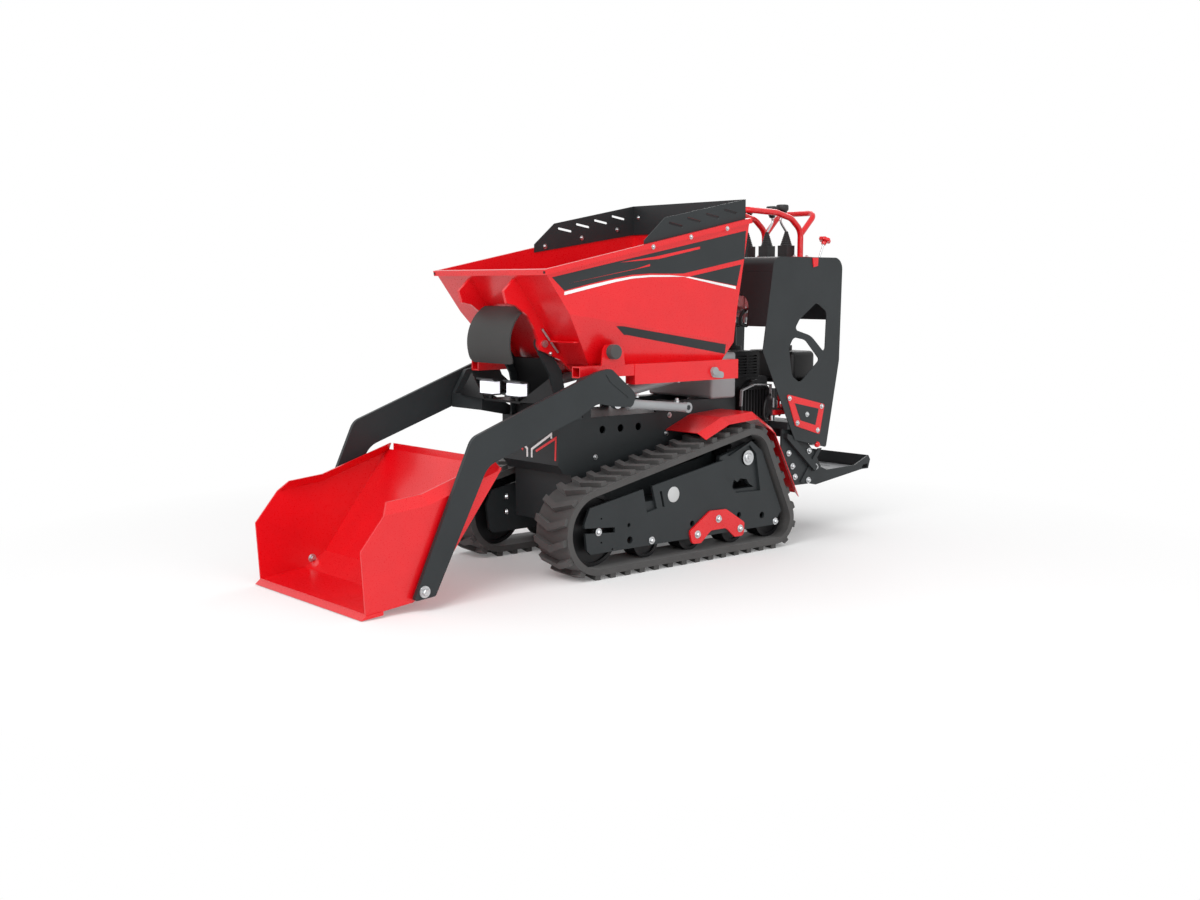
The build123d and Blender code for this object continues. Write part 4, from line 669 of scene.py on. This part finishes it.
def build_engine_parts():
    """Carburettor parts, the bent strap round the fins, and short hoses and leads."""
    for i, (finish, xs, ys, zs) in enumerate(CARB_BLOCKS, 1):
        mesh = bmesh.new()
        add_box(mesh, xs, ys, zs)
        finish_piece(f"carburettor_block_{i}", "chassis", finish, mesh)
    mesh = bmesh.new()
    place, profile = CHROME_BOWL
    add_turned(mesh, surface_frame(place, (-0.3, 1, 0)), profile, 32)
    finish_piece("chrome_bowl", "chassis", "chrome_rod", mesh)
    mesh = bmesh.new()
    add_plate(mesh, CROSS, stroke(SHROUD_STRAP, 5), *STRAP_YS)
    finish_piece("shroud_strap", "chassis", "grey_paint", mesh)
    mesh = bmesh.new()
    for radius, points in ENGINE_HOSES:
        add_tube(mesh, points, radius)
    finish_piece("engine_hoses", "chassis", "black_plastic", mesh)


def build_valve_unions():
    """A bright hexagon union and a hose stub on each port of the valve bank."""
    unions, hoses = bmesh.new(), bmesh.new()
    x, z = VALVE_PORT
    for y in VALVE_YS:
        add_turned(unions, surface_frame((x - 12, y, z), (1, 0, 0)), VALVE_UNION, 6)
        points = [(x + dx, y * share, z + dz) for dx, share, dz in VALVE_HOSE]
        add_tube(hoses, points, VALVE_HOSE_R)
    finish_piece("valve_unions", "chassis", "bright_steel", unions)
    finish_piece("valve_hoses", "chassis", "black_plastic", hoses)


# ================================================================ cylinders
BARREL_UNIONS = (            # piece, body, y, (x, z) of each union under or over the barrel, direction
    ("tip_unions", "tip_barrels", 254, ((205, 655), (-150, 712)), (0, 0, -1)),
    ("lift_unions", "lift_barrels", 320, ((-80, 625), (130, 655)), (0, 0, 1)),
)
UNION = ((9, 0), (9, 8), (7, 10), (7, 16), (4, 18))


def build_cylinder_unions():
    """The oil unions at both ends of each cylinder."""
    for name, body, y, places, out in BARREL_UNIONS:
        mesh = bmesh.new()
        for x, z in places:
            for side in (1, -1):
                add_turned(mesh, surface_frame((x, side * y, z), out), UNION, 12)
        finish_piece(name, body, "bright_steel", mesh)


# ================================================================ nose
POST_WEB = ((352, 575), (358, 575), (362, 740), (395, 800), (389, 803), (356, 743))     # (x, z)
POST_INNER_Y = 116
NOSE_BOLTS = ((-150, 250), (-150, 190), (150, 250), (150, 190))     # (y, z) on the chassis front
NOSE_BOLT_SIZE = 13


def build_nose():
    """The web between the skip's posts and the bolts under the front plate."""
    mesh = bmesh.new()
    add_plate(mesh, CROSS, POST_WEB, -POST_INNER_Y, POST_INNER_Y)
    finish_piece("post_web", "chassis", "black_paint", mesh)
    mesh = bmesh.new()
    for y, z in NOSE_BOLTS:
        add_bolt(mesh, surface_frame((CHASSIS_FRONT_X, y, z), (1, 0, 0)), NOSE_BOLT_SIZE)
    finish_piece("nose_bolts", "chassis", "bright_steel", mesh)


# ================================================================ stage
FLOOR_SIZE = 60.0            # metres
FADE_SPAN = (1.1, 2.7)       # metres from the middle, where the floor starts to turn white and where it is
FADE_LOW = 0.12              # share of white at the middle
WORLD_STRENGTH = 0.62        # what lights the machine; the background itself is seen at 1
LIGHT_TARGET = (0, 0, 0.6)
LIGHTS = (                   # name, place in metres, size, power
    ("key", (4.2, 2.2, 4.6), 3.2, 190),
    ("fill", (0.6, 5.4, 2.4), 3.0, 70),
    ("back", (-4.5, -2.5, 4.0), 3.0, 80),
)
CAMERA_PLACE = (3.596, 4.138, 1.074)
CAMERA_HEADING = 49.297      # degrees round from -X
CAMERA_PITCH = -6.831        # degrees, down below level
CAMERA_LENS = 41.24


def white_rays(tree):
    """1 for a ray that shows the background: from the camera, or by way of gloss or glass."""
    path = tree.nodes.new("ShaderNodeLightPath")
    total = path.outputs["Is Camera Ray"]
    for name in ("Is Glossy Ray", "Is Transmission Ray"):
        larger = tree.nodes.new("ShaderNodeMath")
        larger.operation = "MAXIMUM"
        tree.links.new(total, larger.inputs[0])
        tree.links.new(path.outputs[name], larger.inputs[1])
        total = larger.outputs["Value"]
    return total


def build_stage():
    """A pale floor that fades into a white background."""
    bpy.ops.mesh.primitive_plane_add(size=FLOOR_SIZE, location=(0, 0, 0))
    floor = bpy.context.object
    floor.name = "floor"
    material, tree, shader = new_material("floor")
    shader.inputs["Base Color"].default_value = (*FLOOR, 1)
    shader.inputs["Roughness"].default_value = 0.9
    shader.inputs["Specular IOR Level"].default_value = 0.1
    output = tree.nodes["Material Output"]
    place = tree.nodes.new("ShaderNodeTexCoord")
    spread = tree.nodes.new("ShaderNodeVectorMath")
    spread.operation = "LENGTH"
    tree.links.new(place.outputs["Object"], spread.inputs[0])
    fade = tree.nodes.new("ShaderNodeMapRange")
    fade.inputs["From Min"].default_value = FADE_SPAN[0]
    fade.inputs["From Max"].default_value = FADE_SPAN[1]
    fade.inputs["To Min"].default_value = FADE_LOW
    tree.links.new(spread.outputs["Value"], fade.inputs["Value"])
    glow = tree.nodes.new("ShaderNodeEmission")
    glow.inputs["Color"].default_value = (1, 1, 1, 1)
    glow.inputs["Strength"].default_value = 1.0
    blend = tree.nodes.new("ShaderNodeMixShader")
    gate = tree.nodes.new("ShaderNodeMath")
    gate.operation = "MULTIPLY"
    tree.links.new(white_rays(tree), gate.inputs[0])
    tree.links.new(fade.outputs["Result"], gate.inputs[1])
    tree.links.new(gate.outputs["Value"], blend.inputs["Fac"])
    tree.links.new(shader.outputs["BSDF"], blend.inputs[1])
    tree.links.new(glow.outputs["Emission"], blend.inputs[2])
    tree.links.new(blend.outputs["Shader"], output.inputs["Surface"])
    floor.data.materials.append(material)


def build_world():
    """Even white studio light; what the camera and the gloss see of it is pure white."""
    world = bpy.data.worlds.new("studio")
    bpy.context.scene.world = world
    world.use_nodes = True
    tree = world.node_tree
    tree.nodes.clear()
    output = tree.nodes.new("ShaderNodeOutputWorld")
    soft = tree.nodes.new("ShaderNodeBackground")
    soft.inputs["Color"].default_value = (1, 1, 1, 1)
    soft.inputs["Strength"].default_value = WORLD_STRENGTH
    seen = tree.nodes.new("ShaderNodeBackground")
    seen.inputs["Color"].default_value = (1, 1, 1, 1)
    seen.inputs["Strength"].default_value = 1.0
    mix = tree.nodes.new("ShaderNodeMixShader")
    tree.links.new(white_rays(tree), mix.inputs["Fac"])
    tree.links.new(soft.outputs["Background"], mix.inputs[1])
    tree.links.new(seen.outputs["Background"], mix.inputs[2])
    tree.links.new(mix.outputs["Shader"], output.inputs["Surface"])


def area_light(name, place, size, power):
    """A square lamp that points at the middle of the machine."""
    data = bpy.data.lights.new(name, "AREA")
    data.shape = "SQUARE"
    data.size = size
    data.energy = power
    light = bpy.data.objects.new(name, data)
    light.location = place
    aim = Vector(LIGHT_TARGET) - Vector(place)
    light.rotation_euler = aim.to_track_quat("-Z", "Y").to_euler()
    bpy.context.scene.collection.objects.link(light)


def build_lights():
    for row in LIGHTS:
        area_light(*row)


def build_camera():
    """The camera stands off the machine's front left corner, a little above its shoulder."""
    data = bpy.data.cameras.new("camera")
    data.sensor_width = 36.0
    data.lens = CAMERA_LENS
    data.clip_end = 200.0
    camera = bpy.data.objects.new("camera", data)
    heading = math.radians(CAMERA_HEADING)
    pitch = math.radians(CAMERA_PITCH)
    flat = math.cos(pitch)
    aim = Vector((-math.cos(heading) * flat, -math.sin(heading) * flat, math.sin(pitch)))
    camera.location = CAMERA_PLACE
    camera.rotation_euler = aim.to_track_quat("-Z", "Y").to_euler()
    bpy.context.scene.collection.objects.link(camera)
    bpy.context.scene.camera = camera


bpy.context.scene.view_settings.view_transform = "Standard"
build_camera()
build_world()
build_lights()
build_stage()
dress_cad_nodes()
build_side_bolts()
build_board_bolts()
build_skip_markings()
build_front_motif()
build_side_marks()
build_lamps()
build_levers()
build_star_knob()
build_hoop_bolts()
build_skip_fittings()
build_wheel_fittings()
build_engine_parts()
build_valve_unions()
build_cylinder_unions()
build_nose()
build_tread_plate()
build_plungers()
